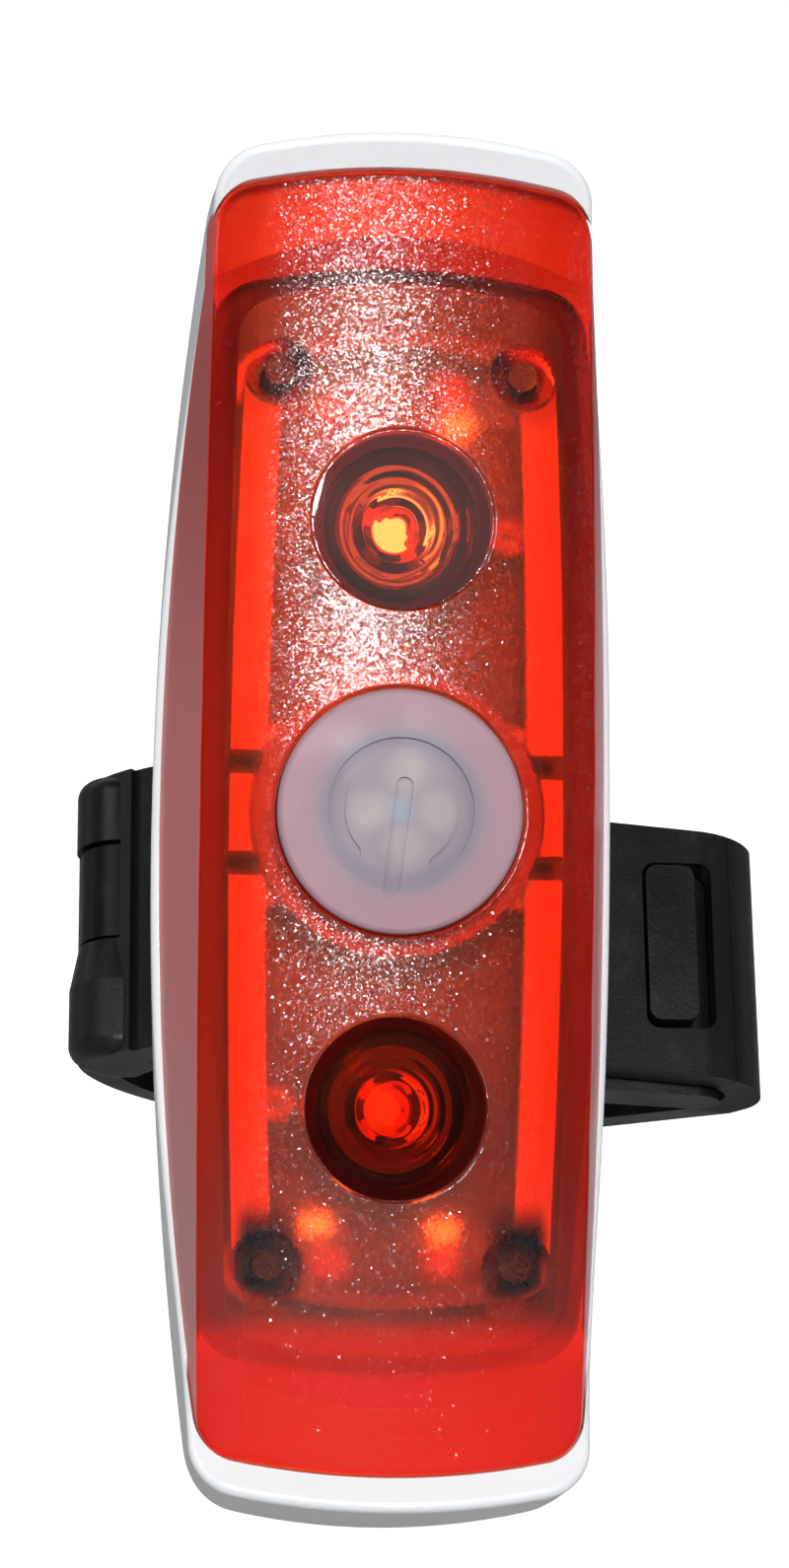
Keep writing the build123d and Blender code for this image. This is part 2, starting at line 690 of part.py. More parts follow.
def tact_switch():
    """Switch body on the board with a bore for its plunger."""
    body = box(-1.6, 1.6, BOARD_Y - 1.5, BOARD_Y, -1.6, 1.6)
    body = chamfer(body.edges().filter_by(Axis.Y), 0.3)
    return body - rod(0, 0, 0.86, 0, BOARD_Y - 0.1)


def switch_plunger():
    """Plunger that the cap's stem pushes."""
    return rod(0, 0, 0.8, plunger_tip(), BOARD_Y - 0.75)


def surface_blocks(spots, size, thick, back=False):
    """Small blocks soldered on one side of the board."""
    parts = []
    y0 = BOARD_Y + BOARD_THICK if back else BOARD_Y - thick
    for x, z in spots:
        w, h = size
        parts.append(box(x - w / 2, x + w / 2, y0, y0 + thick, z - h / 2, z + h / 2))
    return parts


def indicator_leds():
    """Four small lamps round the switch."""
    spots = surface_blocks(((0, 2.55), (0, -2.55)), (1.5, 0.8), 0.6)
    return spots + surface_blocks(((2.55, 0), (-2.55, 0)), (0.8, 1.5), 0.6)


def side_leds():
    """Four small lamps at the ends of the board."""
    z = BOARD_HALF_LENGTH - 3.1
    spots = ((-0.49, z), (0.51, z - 0.6), (-0.55, 0.7 - z), (0.46, 0.4 - z))
    return surface_blocks([(BOARD_HALF_WIDTH * a, b) for a, b in spots], (1.6, 1.2), 0.8)


def capacitors():
    """Blocks on the front of the board."""
    x, z = BOARD_HALF_WIDTH * 0.45, BOARD_HALF_LENGTH - 1.5
    return surface_blocks(((x, z), (-x, -z), (x, 0.1 - z)), (2.2, 1.9), 1.3)


def resistors():
    """Thin blocks on the front of the board."""
    side, end = BOARD_HALF_WIDTH - 1.8, BOARD_HALF_LENGTH - 2.0
    mid = LAMP_Z - 8.0
    spots = ((0.0, -end), (-side, mid), (side, -mid), (side - 1.2, 1.6 - mid))
    return surface_blocks(spots, (1.6, 0.9), 0.45)


def power_inductor():
    """Square coil on the back of the board."""
    low = 0.5 - BOARD_HALF_LENGTH
    coil = box(-2.2, 2.2, BOARD_BACK, CELL_FRONT - 0.6, low, low + 3.7)
    return chamfer(coil.edges().filter_by(Axis.Y), 0.6)


def controller_chip():
    """Controller on the back of the board with two rows of legs."""
    back = BOARD_BACK
    low = PAD_HIGH - 7.0
    chip = box(-2.0, 2.0, back + 0.1, back + 1.5, low, low + 5.0)
    for i in range(5):
        z = low + 0.6 + i * 0.95
        chip += box(-3.0, 3.0, back, back + 0.3, z - 0.2, z + 0.2)
    return chip


def battery_cell():
    """Pouch cell with rounded sides and a sealed edge at one end."""
    cell = box(-CELL_X, CELL_X, CELL_FRONT, CELL_FRONT + CELL_THICK, CELL_LOW, CELL_HIGH - 2.5)
    cell = fillet(cell.edges().filter_by(Axis.Z), 1.6)
    cell = fillet(cell.faces().sort_by(Axis.Z)[-1].edges(), 0.7)
    edge_y = CELL_FRONT + CELL_THICK / 2
    return cell + box(-CELL_X + 0.8, CELL_X - 0.8, edge_y - 0.4, edge_y + 0.4, CELL_HIGH - 3, CELL_HIGH)


def battery_foam():
    """Foam between the cell and the back wall."""
    half = CELL_X - 2.2
    return box(-half, half, CELL_BACK, CELL_BACK + FOAM_THICK, CELL_LOW + 3, CELL_HIGH - 5)


def cell_pads():
    """Two foam strips between the board and the cell."""
    return [
        box(-PAD_OUT, -PAD_IN, BOARD_BACK, CELL_FRONT, PAD_LOW, PAD_HIGH),
        box(PAD_IN, PAD_OUT, BOARD_BACK, CELL_FRONT, PAD_LOW, PAD_HIGH),
    ]


def lead_connector():
    """Plug for the battery's leads on the back of the board."""
    back = BOARD_BACK
    low = CELL_HIGH + 1.8
    body = box(-2.6, 2.6, back, back + 2.4, low, low + 3.0)
    return body - box(-1.9, 1.9, back + 0.5, back + 1.9, low - 1, low + 1.0)


def battery_leads():
    """Two leads from the cell's sealed edge to the plug."""
    parts = []
    cell_y = CELL_FRONT + CELL_THICK / 2
    plug_y = BOARD_BACK + 1.2
    for side in (-1, 1):
        points = [
            (side * 1.2, cell_y, CELL_HIGH),
            (side * 1.0, (cell_y + plug_y) / 2, CELL_HIGH + 1.0),
            (side * 0.9, plug_y, CELL_HIGH + 2.1),
            (side * 0.9, plug_y, CELL_HIGH + 2.7),
        ]
        path = Spline(*points, tangents=((0, 0, 1), (0, 0, 1)))
        parts.append(sweep(Plane(path @ 0, z_dir=path % 0) * Circle(0.42), path=path))
    return parts


def charge_board():
    """Small board that carries the charging socket."""
    board = box(
        -CHARGE_HALF, CHARGE_HALF, CHARGE_Y, CHARGE_Y + CHARGE_THICK, CHARGE_LOW, CHARGE_HIGH
    )
    return fillet(board.edges().filter_by(Axis.Y), 0.5)


def charge_chip():
    """Charging circuit on the front of the small board."""
    low = PORT_Z + 0.8
    return box(-1.6, 1.6, CHARGE_Y - 1.0, CHARGE_Y, low, low + 3.2)


def board_header():
    """Block of pins between the two boards."""
    y0, y1 = BOARD_BACK, CHARGE_Y
    z = PORT_Z - 2.3
    block = box(-3.2, 3.2, y0 + 0.6, y1, z - 0.9, z + 0.9)
    for i in range(4):
        x = -2.4 + i * 1.6
        block += box(x - 0.25, x + 0.25, y0, y1, z - 0.25, z + 0.25)
    return block


def usb_shell():
    """Steel shell of the upright socket."""
    y0 = CHARGE_Y + CHARGE_THICK
    shell = socket_block(0, y0, y0 + SHELL_DEPTH - 0.3)
    return shell - socket_block(SHELL_WALL, y0 + 0.6, y0 + SHELL_DEPTH + 1)


def socket_block(inset, y0, y1):
    """Block with the socket's slanted lower corners."""
    w, h = PORT_W / 2 - inset, PORT_H / 2 - inset
    with BuildSketch() as sketch:
        with BuildLine():
            Polyline((-w, h), (w, h), (w, -h * 0.2), (w - 1.0, -h), (1.0 - w, -h), (-w, -h * 0.2), close=True)
        make_face()
    return prism(Pos(0, PORT_Z) * sketch.sketch, y0, y1)


def usb_tongue():
    """Contact tongue in the socket."""
    y0 = CHARGE_Y + CHARGE_THICK + 0.6
    return box(-2.4, 2.4, y0, y0 + SHELL_DEPTH - 2.0, PORT_Z + 0.05, PORT_Z + 0.65)


def ring_sector(inner, outer, centre, span, low, high):
    """Part of a ring round the post's axis."""
    steps = 12
    start = math.radians(centre - span / 2)
    width = math.radians(span)
    far = outer / math.cos(width / steps / 2) + 5
    points = [(0, 0)]
    for i in range(steps + 1):
        angle = start + width * i / steps
        points.append((far * math.cos(angle), far * math.sin(angle)))
    with BuildSketch() as sketch:
        with BuildLine():
            Polyline(*points, close=True)
        make_face()
    wedge = extrude(Pos(0, 0, low) * sketch.sketch, amount=high - low)
    mid = (low + high) / 2
    ring = Pos(0, 0, mid) * (Cylinder(outer, high - low) - Cylinder(inner, high - low + 1))
    return ring & wedge


def strap_slab():
    """Space between the strap's skewed upper and lower edges."""
    return Rot(0, STRAP_SKEW, 0) * Box(6 * POST_R, 6 * POST_R, MOUNT_HEIGHT)


def taper_slab():
    """Space between the strap's edges where it narrows behind the post."""
    half = 3 * POST_R
    block = box(-half, half, -half, half, 0, half)
    low = Rot(STRAP_TAPER, STRAP_SKEW + 0.5, 0) * Pos(0, 0, -TAPER_HALF) * block
    high = Rot(-STRAP_TAPER, STRAP_SKEW + 0.5, 0) * Pos(0, 0, TAPER_HALF - half) * block
    return low & high


def saddle_slab():
    """Space between the saddle's upper and lower ends, each at its own skew."""
    half = 3 * POST_R
    block = box(-half, half, -half, half, 0, half)
    low = Rot(0, SADDLE_LOW_SKEW, 0) * Pos(0, 0, -SADDLE_LOW) * block
    high = Rot(0, SADDLE_TOP_SKEW, 0) * Pos(0, 0, SADDLE_TOP - half) * block
    return low & high


def saddle_pad():
    """Rubber pad between bracket and post, with grip grooves."""
    outer = POST_R + PAD_THICK - PAD_SEAT
    pad = ring_sector(POST_R, outer, -90, PAD_SPAN, -TALL / 2, TALL / 2) & strap_slab()
    for angle in (-126, -108, -90, -72, -54):
        x = POST_R * math.cos(math.radians(angle))
        y = POST_R * math.sin(math.radians(angle))
        pad -= Pos(x, y, 0) * Cylinder(GROOVE_R, 2 * TALL)
    return pad


def knuckles(radius, low, high):
    """Round bar along the strap pin's line."""
    return Pos(PIN_X, PIN_Y, (low + high) / 2) * Cylinder(radius, high - low)


def rounded_knuckles(low, high):
    """Knuckles above and below the strap's eye, rounded at their ends, the lower one coned."""
    slab = saddle_slab()
    upper = knuckles(KNUCKLE_R, high, TALL / 2) & slab
    upper = fillet(upper.edges().group_by(Axis.Z)[-1], KNUCKLE_ROUND)
    lower = knuckles(LOWER_KNUCKLE_R, -TALL / 2, low - KNUCKLE_CONE) & slab
    lower = fillet(lower.edges().group_by(Axis.Z)[0], KNUCKLE_ROUND)
    cone = Cone(LOWER_KNUCKLE_R, EYE_R + 0.1, KNUCKLE_CONE)
    return upper + lower + Pos(PIN_X, PIN_Y, low - KNUCKLE_CONE / 2) * cone


def bracket():
    """Saddle with the rail, the pin's knuckles and the flange with its hook."""
    inner = POST_R + PAD_THICK
    outer = inner + SADDLE_THICK
    half = TALL / 2
    body = ring_sector(inner, outer, -90, SADDLE_SPAN, -half, half)
    low, high = EYE_Z - EYE_HALF - KNUCKLE_GAP, EYE_Z + EYE_HALF + KNUCKLE_GAP
    web = ring_sector(inner, inner + 2.6, -146, 16, -half, half)
    body += web - knuckles(EYE_R + 0.35, low, high)
    body -= knuckles(EYE_R + 0.35, low, high)
    flange = box(POST_R - 3.3, BEND_X, BEND_Y - FLANGE_T / 2, BEND_Y + FLANGE_T / 2, -half, half)
    flange += Pos(BEND_X, BEND_Y, 0) * Cylinder(FLANGE_T / 2, TALL)
    body += flange - Cylinder(inner, 2 * TALL)
    body = body & saddle_slab()
    body += rounded_knuckles(low, high) - Cylinder(POST_R + 0.3, 2 * TALL)
    body -= knuckles(PIN_R + PIN_FIT, PIN_LOW - PIN_FIT, TALL)
    low, high = -TONGUE_HALF_H - TONGUE_DROP, TONGUE_HALF_H - TONGUE_DROP
    tongue = box(TONGUE_IN, TONGUE_OUT, TONGUE_FRONT, BEND_Y, low, high)
    tongue = fillet(tongue.edges().filter_by(Axis.Y), TONGUE_W * 0.24)
    body += tongue
    body = lean(body)
    return body + rail_block(inner)


def rail_block(inner):
    """Upright block on the front of the saddle, with the rail for the head."""
    front = HEAD_Y + HOUSING_DEPTH + SHOE_DEPTH + BRACKET_GAP
    low, high = -RAIL_LENGTH / 2 + 0.5, RAIL_LENGTH / 2 + 0.5
    block = box(-BLOCK_HALF, BLOCK_HALF, front, -POST_R + 2.0, low, high)
    block = fillet(block.edges().filter_by(Axis.Y), 1.5)
    block -= lean(Cylinder(inner, 4 * TALL))
    rail = HEAD_Y + rail_front()
    block += box(-RAIL_NECK_HALF, RAIL_NECK_HALF, rail, front + 1, low, high)
    block += box(-RAIL_HEAD_HALF, RAIL_HEAD_HALF, rail, rail + RAIL_HEAD_T, low, high)
    return block


def lean(shape):
    """Turn from the post's own axis into the frame."""
    return Rot(-POST_LEAN, 0, 0) * shape


def strap_path_side(offset):
    """Strap profile on one side of its middle line, from the pin to the hook."""
    centre_r = POST_R + STRAP_T / 2
    dist = math.hypot(BEND_X, BEND_Y)
    base = math.atan2(BEND_Y, BEND_X)
    normal = base + math.acos((centre_r - BEND_R) / dist)
    r_post = centre_r + offset
    r_bend = BEND_R + offset
    return normal, r_post, r_bend


def arc_points(cx, cy, radius, start, end):
    """Start, middle and end of an arc, with angles in radians."""
    mid = (start + end) / 2
    return [(cx + radius * math.cos(a), cy + radius * math.sin(a)) for a in (start, mid, end)]


def strap_band():
    """Rubber strap from the pin round the post to the bend at the hook."""
    half = STRAP_T / 2
    normal, post_out, bend_out = strap_path_side(half)
    _, post_in, bend_in = strap_path_side(-half)
    first = math.radians(197)
    split = math.radians(TAB_SPLIT)
    wide = ring_between(post_in, post_out, bend_in, bend_out, first, normal, split)
    neck = ring_between(post_in, post_out, bend_in, bend_out, math.radians(205), normal, split)
    body = extrude(Pos(0, 0, -TALL / 2) * wide, amount=TALL) & strap_slab() & taper_slab()
    low, high = EYE_Z - EYE_HALF, EYE_Z + EYE_HALF
    body += extrude(Pos(0, 0, low) * neck, amount=high - low)
    body += knuckles(EYE_R, low, high) - Cylinder(POST_R, 2 * TALL)
    body -= knuckles(PIN_R + PIN_FIT, -TALL, TALL)
    body -= Cylinder(POST_R, 2 * TALL)
    return lean(body)


def ring_between(post_in, post_out, bend_in, bend_out, first, normal, split):
    """Closed face of the strap between two of its ends."""
    outer_post = arc_points(0, 0, post_out, first, normal)
    outer_bend = arc_points(BEND_X, BEND_Y, bend_out, normal, split)
    inner_post = arc_points(0, 0, post_in, first, normal)
    inner_bend = arc_points(BEND_X, BEND_Y, bend_in, normal, split)
    with BuildSketch() as sketch:
        with BuildLine():
            ThreePointArc(*outer_post)
            Line(outer_post[2], outer_bend[0])
            ThreePointArc(*outer_bend)
            Line(outer_bend[2], inner_bend[2])
            ThreePointArc(*reversed(inner_bend))
            Line(inner_bend[0], inner_post[2])
            ThreePointArc(*reversed(inner_post))
            Line(inner_post[0], outer_post[0])
        make_face()
    return sketch.sketch


def strap_tab():
    """Free end of the strap with the slot for the hook and a rounded pull end."""
    half = STRAP_T / 2
    _, _, bend_out = strap_path_side(half)
    _, _, bend_in = strap_path_side(-half)
    split = math.radians(TAB_SPLIT) - 0.012
    down = math.radians(-90)
    outer = arc_points(BEND_X, BEND_Y, bend_out, split, down)
    inner = arc_points(BEND_X, BEND_Y, bend_in, split, down)
    y_out, y_in = BEND_Y - bend_out, BEND_Y - bend_in
    with BuildSketch() as sketch:
        with BuildLine():
            ThreePointArc(*outer)
            Line(outer[2], (TAB_INNER_X, y_out))
            Line((TAB_INNER_X, y_out), (TAB_INNER_X, y_in))
            Line((TAB_INNER_X, y_in), inner[2])
            ThreePointArc(*reversed(inner))
            Line(inner[0], outer[0])
        make_face()
    body = extrude(Pos(0, 0, -TALL / 2) * sketch.sketch, amount=TALL) & strap_slab()
    low, high = -SLOT_HALF_H - TONGUE_DROP, SLOT_HALF_H - TONGUE_DROP
    slot = box(SLOT_IN, SLOT_OUT, BEND_Y - 10, BEND_Y + 5, low, high)
    slot = fillet(slot.edges().filter_by(Axis.Y), 0.9)
    return lean(body - slot)


def strap_pin():
    """Steel pin through the knuckles."""
    pin = Pos(PIN_X, PIN_Y, (PIN_LOW + PIN_HIGH) / 2) * Cylinder(PIN_R, PIN_HIGH - PIN_LOW)
    return lean(chamfer(pin.edges().filter_by(GeomType.CIRCLE), 0.2))


def solids_of(shape):
    """Flat list of the solids in a shape or list of shapes."""
    if isinstance(shape, (list, tuple)):
        return [s for item in shape for s in solids_of(item)]
    return list(shape.solids())


def save(name, shape, in_head):
    """Put a node in the frame and write its file."""
    solids = solids_of(shape)
    if in_head:
        solids = [Pos(0, HEAD_Y, HEAD_Z) * s for s in solids]
    result = solids[0] if len(solids) == 1 else Compound(children=solids)
    export_step(result, f"parts/{name}.step")
    box3 = result.bounding_box()
    print(name, len(solids), round(sum(s.volume for s in solids), 1), box3.min, box3.max)


def main():
    """Build and write every node."""
    os.makedirs("parts", exist_ok=True)
    upper_led, upper_dome = led(LAMP_Z)
    lower_led, lower_dome = led(-LAMP_Z)
    head = {
        "front_cover": front_cover(),
        "rear_housing": rear_housing(),
        "seal_ring": seal_ring(),
        "inner_frame": inner_frame(),
        "main_board": main_board(),
        "board_screws": board_screws(),
        "housing_screws": housing_screws(),
        "upper_lens_holder": lens_holder(LAMP_Z),
        "lower_lens_holder": lens_holder(-LAMP_Z),
        "upper_collimator": collimator(LAMP_Z),
        "lower_collimator": collimator(-LAMP_Z),
        "upper_led": upper_led,
        "upper_led_dome": upper_dome,
        "lower_led": lower_led,
        "lower_led_dome": lower_dome,
        "tact_switch": tact_switch(),
        "indicator_leds": indicator_leds(),
        "side_leds": side_leds(),
        "capacitors": capacitors(),
        "resistors": resistors(),
        "power_inductor": power_inductor(),
        "controller_chip": controller_chip(),
        "battery_cell": battery_cell(),
        "battery_foam": battery_foam(),
        "cell_pads": cell_pads(),
        "lead_connector": lead_connector(),
        "battery_leads": battery_leads(),
        "charge_board": charge_board(),
        "charge_chip": charge_chip(),
        "board_header": board_header(),
        "usb_shell": usb_shell(),
        "usb_tongue": usb_tongue(),
        "port_cover": port_cover(),
        "button_cap": button_cap(),
        "switch_plunger": switch_plunger(),
    }
    mount = {
        "bracket": bracket(),
        "saddle_pad": lean(saddle_pad()),
        "strap_band": strap_band(),
        "strap_tab": strap_tab(),
        "strap_pin": strap_pin(),
    }
    for name, shape in head.items():
        save(name, shape, True)
    for name, shape in mount.items():
        save(name, shape, False)


main()
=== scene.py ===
"""Long rear bike light with a red cover, a soft centre button and a strap mount for a seat post."""

import json
import logging
import math
from abc import ABC, abstractmethod
from collections.abc import Sequence
from dataclasses import dataclass
from enum import Enum
from typing import Any

import bpy
from mathutils import Matrix, Vector


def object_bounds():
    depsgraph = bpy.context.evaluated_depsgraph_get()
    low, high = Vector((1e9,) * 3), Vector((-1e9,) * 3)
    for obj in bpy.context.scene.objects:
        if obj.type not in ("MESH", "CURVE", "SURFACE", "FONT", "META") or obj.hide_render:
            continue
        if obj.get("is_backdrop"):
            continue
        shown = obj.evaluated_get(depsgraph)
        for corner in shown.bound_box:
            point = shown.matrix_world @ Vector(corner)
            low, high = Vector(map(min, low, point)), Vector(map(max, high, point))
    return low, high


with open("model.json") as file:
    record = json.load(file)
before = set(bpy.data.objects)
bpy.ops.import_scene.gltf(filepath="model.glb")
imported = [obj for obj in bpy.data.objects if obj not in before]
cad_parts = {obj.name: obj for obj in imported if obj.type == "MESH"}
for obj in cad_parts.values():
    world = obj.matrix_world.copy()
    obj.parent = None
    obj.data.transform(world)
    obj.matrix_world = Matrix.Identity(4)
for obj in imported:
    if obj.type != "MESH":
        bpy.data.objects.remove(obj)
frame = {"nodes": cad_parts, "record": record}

log = logging.getLogger("bike_light")

Colour = tuple[float, float, float]
Limits = tuple[float, float]
Socket = bpy.types.NodeSocket

MM = 0.001
WHITE: Colour = (1.0, 1.0, 1.0)

# Middle of the button's face, and what lies round it
FACE = Vector((0.0, -47.0, 7.7)) * MM
LAMP_OFFSET = 17.7 * MM
COLUMN_SIDE = 7.3 * MM
COLUMN_HEIGHT = 27.0 * MM


class ShaderTree:
    """Shorthand for the nodes of one material, group or world."""

    def __init__(self, tree: bpy.types.NodeTree) -> None:
        """Take a node tree.

        Args:
            tree: The tree that new nodes go into.
        """
        self.tree = tree

    def add(self, kind: str, inputs: dict[str, Any] | None = None, **settings: Any) -> bpy.types.Node:
        """Add a node.

        Args:
            kind: Blender's name for the node's type.
            inputs: Values or sockets for its inputs, by name or by number as text.
            settings: Values for the node's own properties.

        Returns:
            The new node.
        """
        node = self.tree.nodes.new(kind)
        for key, value in settings.items():
            setattr(node, key, value)
        self.fill(node, inputs or {})
        return node

    def fill(self, node: bpy.types.Node, inputs: dict[str, Any]) -> None:
        """Feed several inputs of one node.

        Args:
            node: The node.
            inputs: Values or sockets for its inputs, by name or by number as text.
        """
        for key, value in inputs.items():
            self.feed(node.inputs[int(key)] if key.isdigit() else node.inputs[key], value)

    def feed(self, socket: Socket, value: Any) -> None:
        """Link a socket into an input, or set its value.

        Args:
            socket: The input.
            value: Another node's output, a number or a colour.
        """
        if isinstance(value, bpy.types.NodeSocket):
            self.tree.links.new(value, socket)
        elif isinstance(value, tuple) and len(value) == 3 and socket.type == "RGBA":
            socket.default_value = (*value, 1.0)
        else:
            socket.default_value = value

    def math(self, operation: str, *values: Any, clamp: bool = False) -> Socket:
        """Do one sum.

        Args:
            operation: Blender's name for the sum.
            values: Its numbers or sockets.
            clamp: Whether the result stays between 0 and 1.

        Returns:
            The result's socket.
        """
        inputs = {str(i): value for i, value in enumerate(values)}
        return self.add("ShaderNodeMath", inputs, operation=operation, use_clamp=clamp).outputs[0]

    def vector(self, operation: str, *values: Any) -> Socket:
        """Do one sum on vectors.

        Args:
            operation: Blender's name for the sum.
            values: Its vectors or sockets.

        Returns:
            The new vector's socket.
        """
        inputs = {str(i): value for i, value in enumerate(values)}
        return self.add("ShaderNodeVectorMath", inputs, operation=operation).outputs["Vector"]

    def times(self, *values: Any) -> Socket:
        """Multiply.

        Args:
            values: Two or more numbers or sockets.

        Returns:
            The product's socket.
        """
        product = values[0]
        for value in values[1:]:
            product = self.math("MULTIPLY", product, value)
        return product

    def rising(self, start: Any, rise: Any, share: Any) -> Socket:
        """Add a share of a rise to a start.

        Args:
            start: Value where the share is 0.
            rise: What is added where the share is 1.
            share: The share.

        Returns:
            The sum's socket.
        """
        return self.math("ADD", self.math("MULTIPLY", share, rise), start)

    def between(self, limits: Limits, value: Any) -> Socket:
        """Share of the way from one limit to another, eased and kept between 0 and 1.

        Args:
            limits: Values that give 0 and 1.
            value: The value's socket.

        Returns:
            The share's socket.
        """
        inputs = {"Value": value, "From Min": limits[0], "From Max": limits[1]}
        return self.add("ShaderNodeMapRange", inputs, interpolation_type="SMOOTHSTEP").outputs["Result"]

    def colour(self, share: Any, low: Any, high: Any) -> Socket:
        """Mix two colours.

        Args:
            share: Share of the second colour.
            low: First colour.
            high: Second colour.

        Returns:
            The mixed colour's socket.
        """
        inputs = {"0": share, "6": low, "7": high}
        return self.add("ShaderNodeMix", inputs, data_type="RGBA").outputs[2]

    def place(self) -> Socket:
        """Object coordinates of the shaded point."""
        return self.add("ShaderNodeTexCoord").outputs["Object"]

    def axis(self, name: str, vector: Socket | None = None) -> Socket:
        """One number of a vector.

        Args:
            name: X, Y or Z.
            vector: The vector's socket, in place of the object coordinates.

        Returns:
            The number's socket.
        """
        source = self.place() if vector is None else vector
        return self.add("ShaderNodeSeparateXYZ", {"0": source}).outputs[name]

    def side(self) -> Socket:
        """Distance from the light's middle plane."""
        return self.math("ABSOLUTE", self.axis("X"))

    def height(self) -> Socket:
        """Height above the face's middle."""
        return self.math("SUBTRACT", self.axis("Z"), FACE.z)

    def from_point(self, centre: Vector) -> Socket:
        """Distance from a point as seen from the front, for a round mark.

        Args:
            centre: The point, in metres.

        Returns:
            The distance's socket.
        """
        flat = self.vector("MULTIPLY", self.vector("ADD", self.place(), tuple(-centre)), (1.0, 0.0, 1.0))
        return self.add("ShaderNodeVectorMath", {"0": flat}, operation="LENGTH").outputs["Value"]

    def from_lamp(self) -> Socket:
        """Distance from the axis of the nearer of the two main lamps."""
        lamps = [self.from_point(FACE + Vector((0, 0, lift))) for lift in (LAMP_OFFSET, -LAMP_OFFSET)]
        return self.math("MINIMUM", *lamps)

    def facing(self) -> Socket:
        """How far the surface faces sideways, from -1 on its left to 1 on its right."""
        return self.axis("X", self.add("ShaderNodeTexCoord").outputs["Normal"])

    def leaning(self, normal: Socket, lean: Socket) -> Socket:
        """Tilt a normal.

        Args:
            normal: The normal.
            lean: The vector that is added to it.

        Returns:
            The new normal's socket.
        """
        return self.vector("NORMALIZE", self.vector("ADD", normal, lean))

    def noise(self, scale: Any, detail: float, roughness: float = 0.5) -> Socket:
        """Noise over the object.

        Args:
            scale: Size, in cycles in a metre.
            detail: Number of finer layers.
            roughness: Weight of the finer layers.

        Returns:
            The noise's socket, from 0 to 1.
        """
        inputs = {"Vector": self.place(), "Scale": scale, "Detail": detail, "Roughness": roughness}
        return self.add("ShaderNodeTexNoise", inputs).outputs["Fac"]

    def bump(self, height: Socket, distance: float) -> Socket:
        """Raise a pattern on the surface.

        Args:
            height: The pattern.
            distance: How far it is raised, in metres.

        Returns:
            The normal's socket.
        """
        return self.add("ShaderNodeBump", {"Height": height, "Distance": distance}).outputs["Normal"]

    def group(self, group: bpy.types.NodeTree, **inputs: Any) -> bpy.types.Node:
        """Place a shared group.

        Args:
            group: The group's tree.
            inputs: Values for its inputs.

        Returns:
            The group's node.
        """
        return self.add("ShaderNodeGroup", inputs, node_tree=group)

    def shaders(self, share: Any, first: Socket, second: Socket) -> Socket:
        """Mix two shaders.

        Args:
            share: Share of the second shader.
            first: First shader.
            second: Second shader.

        Returns:
            The mixed shader's socket.
        """
        return self.add("ShaderNodeMixShader", {"0": share, "1": first, "2": second}).outputs[0]

    def thin_film(self, glass: bpy.types.Node, tint: Colour) -> Socket:
        """Let shadow rays and diffuse rays go straight through glass, as through a thin tinted film.

        Args:
            glass: The glass shader.
            tint: The film's colour.

        Returns:
            The mixed shader's socket.
        """
        film = self.add("ShaderNodeBsdfTransparent", {"Color": tint})
        path = self.add("ShaderNodeLightPath")
        free = self.math("MAXIMUM", path.outputs["Is Shadow Ray"], path.outputs["Is Diffuse Ray"])
        return self.shaders(free, glass.outputs[0], film.outputs[0])

    def show(self, shader: Socket) -> None:
        """Put a shader on the material's surface."""
        self.feed(self.tree.nodes["Material Output"].inputs["Surface"], shader)


def start_material(name: str) -> tuple[bpy.types.Material, ShaderTree, bpy.types.Node]:
    """Start a material with one Principled shader.

    Args:
        name: The material's name.

    Returns:
        The material, its shorthand and its shader.
    """
    material = bpy.data.materials.new(name)
    material.use_nodes = True
    return material, ShaderTree(material.node_tree), material.node_tree.nodes["Principled BSDF"]


def start_group(
    name: str, inputs: dict[str, float], outputs: dict[str, str]
) -> tuple[ShaderTree, bpy.types.Node, bpy.types.Node]:
    """Start a shader group with its sockets.

    Args:
        name: The group's name.
        inputs: Starting value of each input, by name.
        outputs: Socket type of each output, by name.

    Returns:
        The group's shorthand, its input node and its output node.
    """
    group = bpy.data.node_groups.new(name, "ShaderNodeTree")
    for label, value in inputs.items():
        given = group.interface.new_socket(label, in_out="INPUT", socket_type="NodeSocketFloat")
        given.default_value = value
    for label, kind in outputs.items():
        group.interface.new_socket(label, in_out="OUTPUT", socket_type=kind)
    tree = ShaderTree(group)
    return tree, tree.add("NodeGroupInput"), tree.add("NodeGroupOutput")


@dataclass(frozen=True)
class MouldedGrain:
    """Fine mould texture: a height for bump and a tone that shifts colour and roughness."""

    scale: float = 4000.0
    patches: float = 160.0
    fine_detail: float = 3.0
    broad_detail: float = 4.0
    tone_limits: Limits = (0.3, 0.7)

    def build(self) -> bpy.types.NodeTree:
        """Make the group.

        Returns:
            The group.
        """
        tree, given, out = start_group(
            "moulded grain",
            {"Scale": self.scale, "Patches": self.patches},
            {"Height": "NodeSocketFloat", "Tone": "NodeSocketFloat"},
        )
        broad = tree.noise(given.outputs["Patches"], self.broad_detail)
        tree.feed(out.inputs["Height"], tree.noise(given.outputs["Scale"], self.fine_detail))
        tree.feed(out.inputs["Tone"], tree.between(self.tone_limits, broad))
        return tree.tree


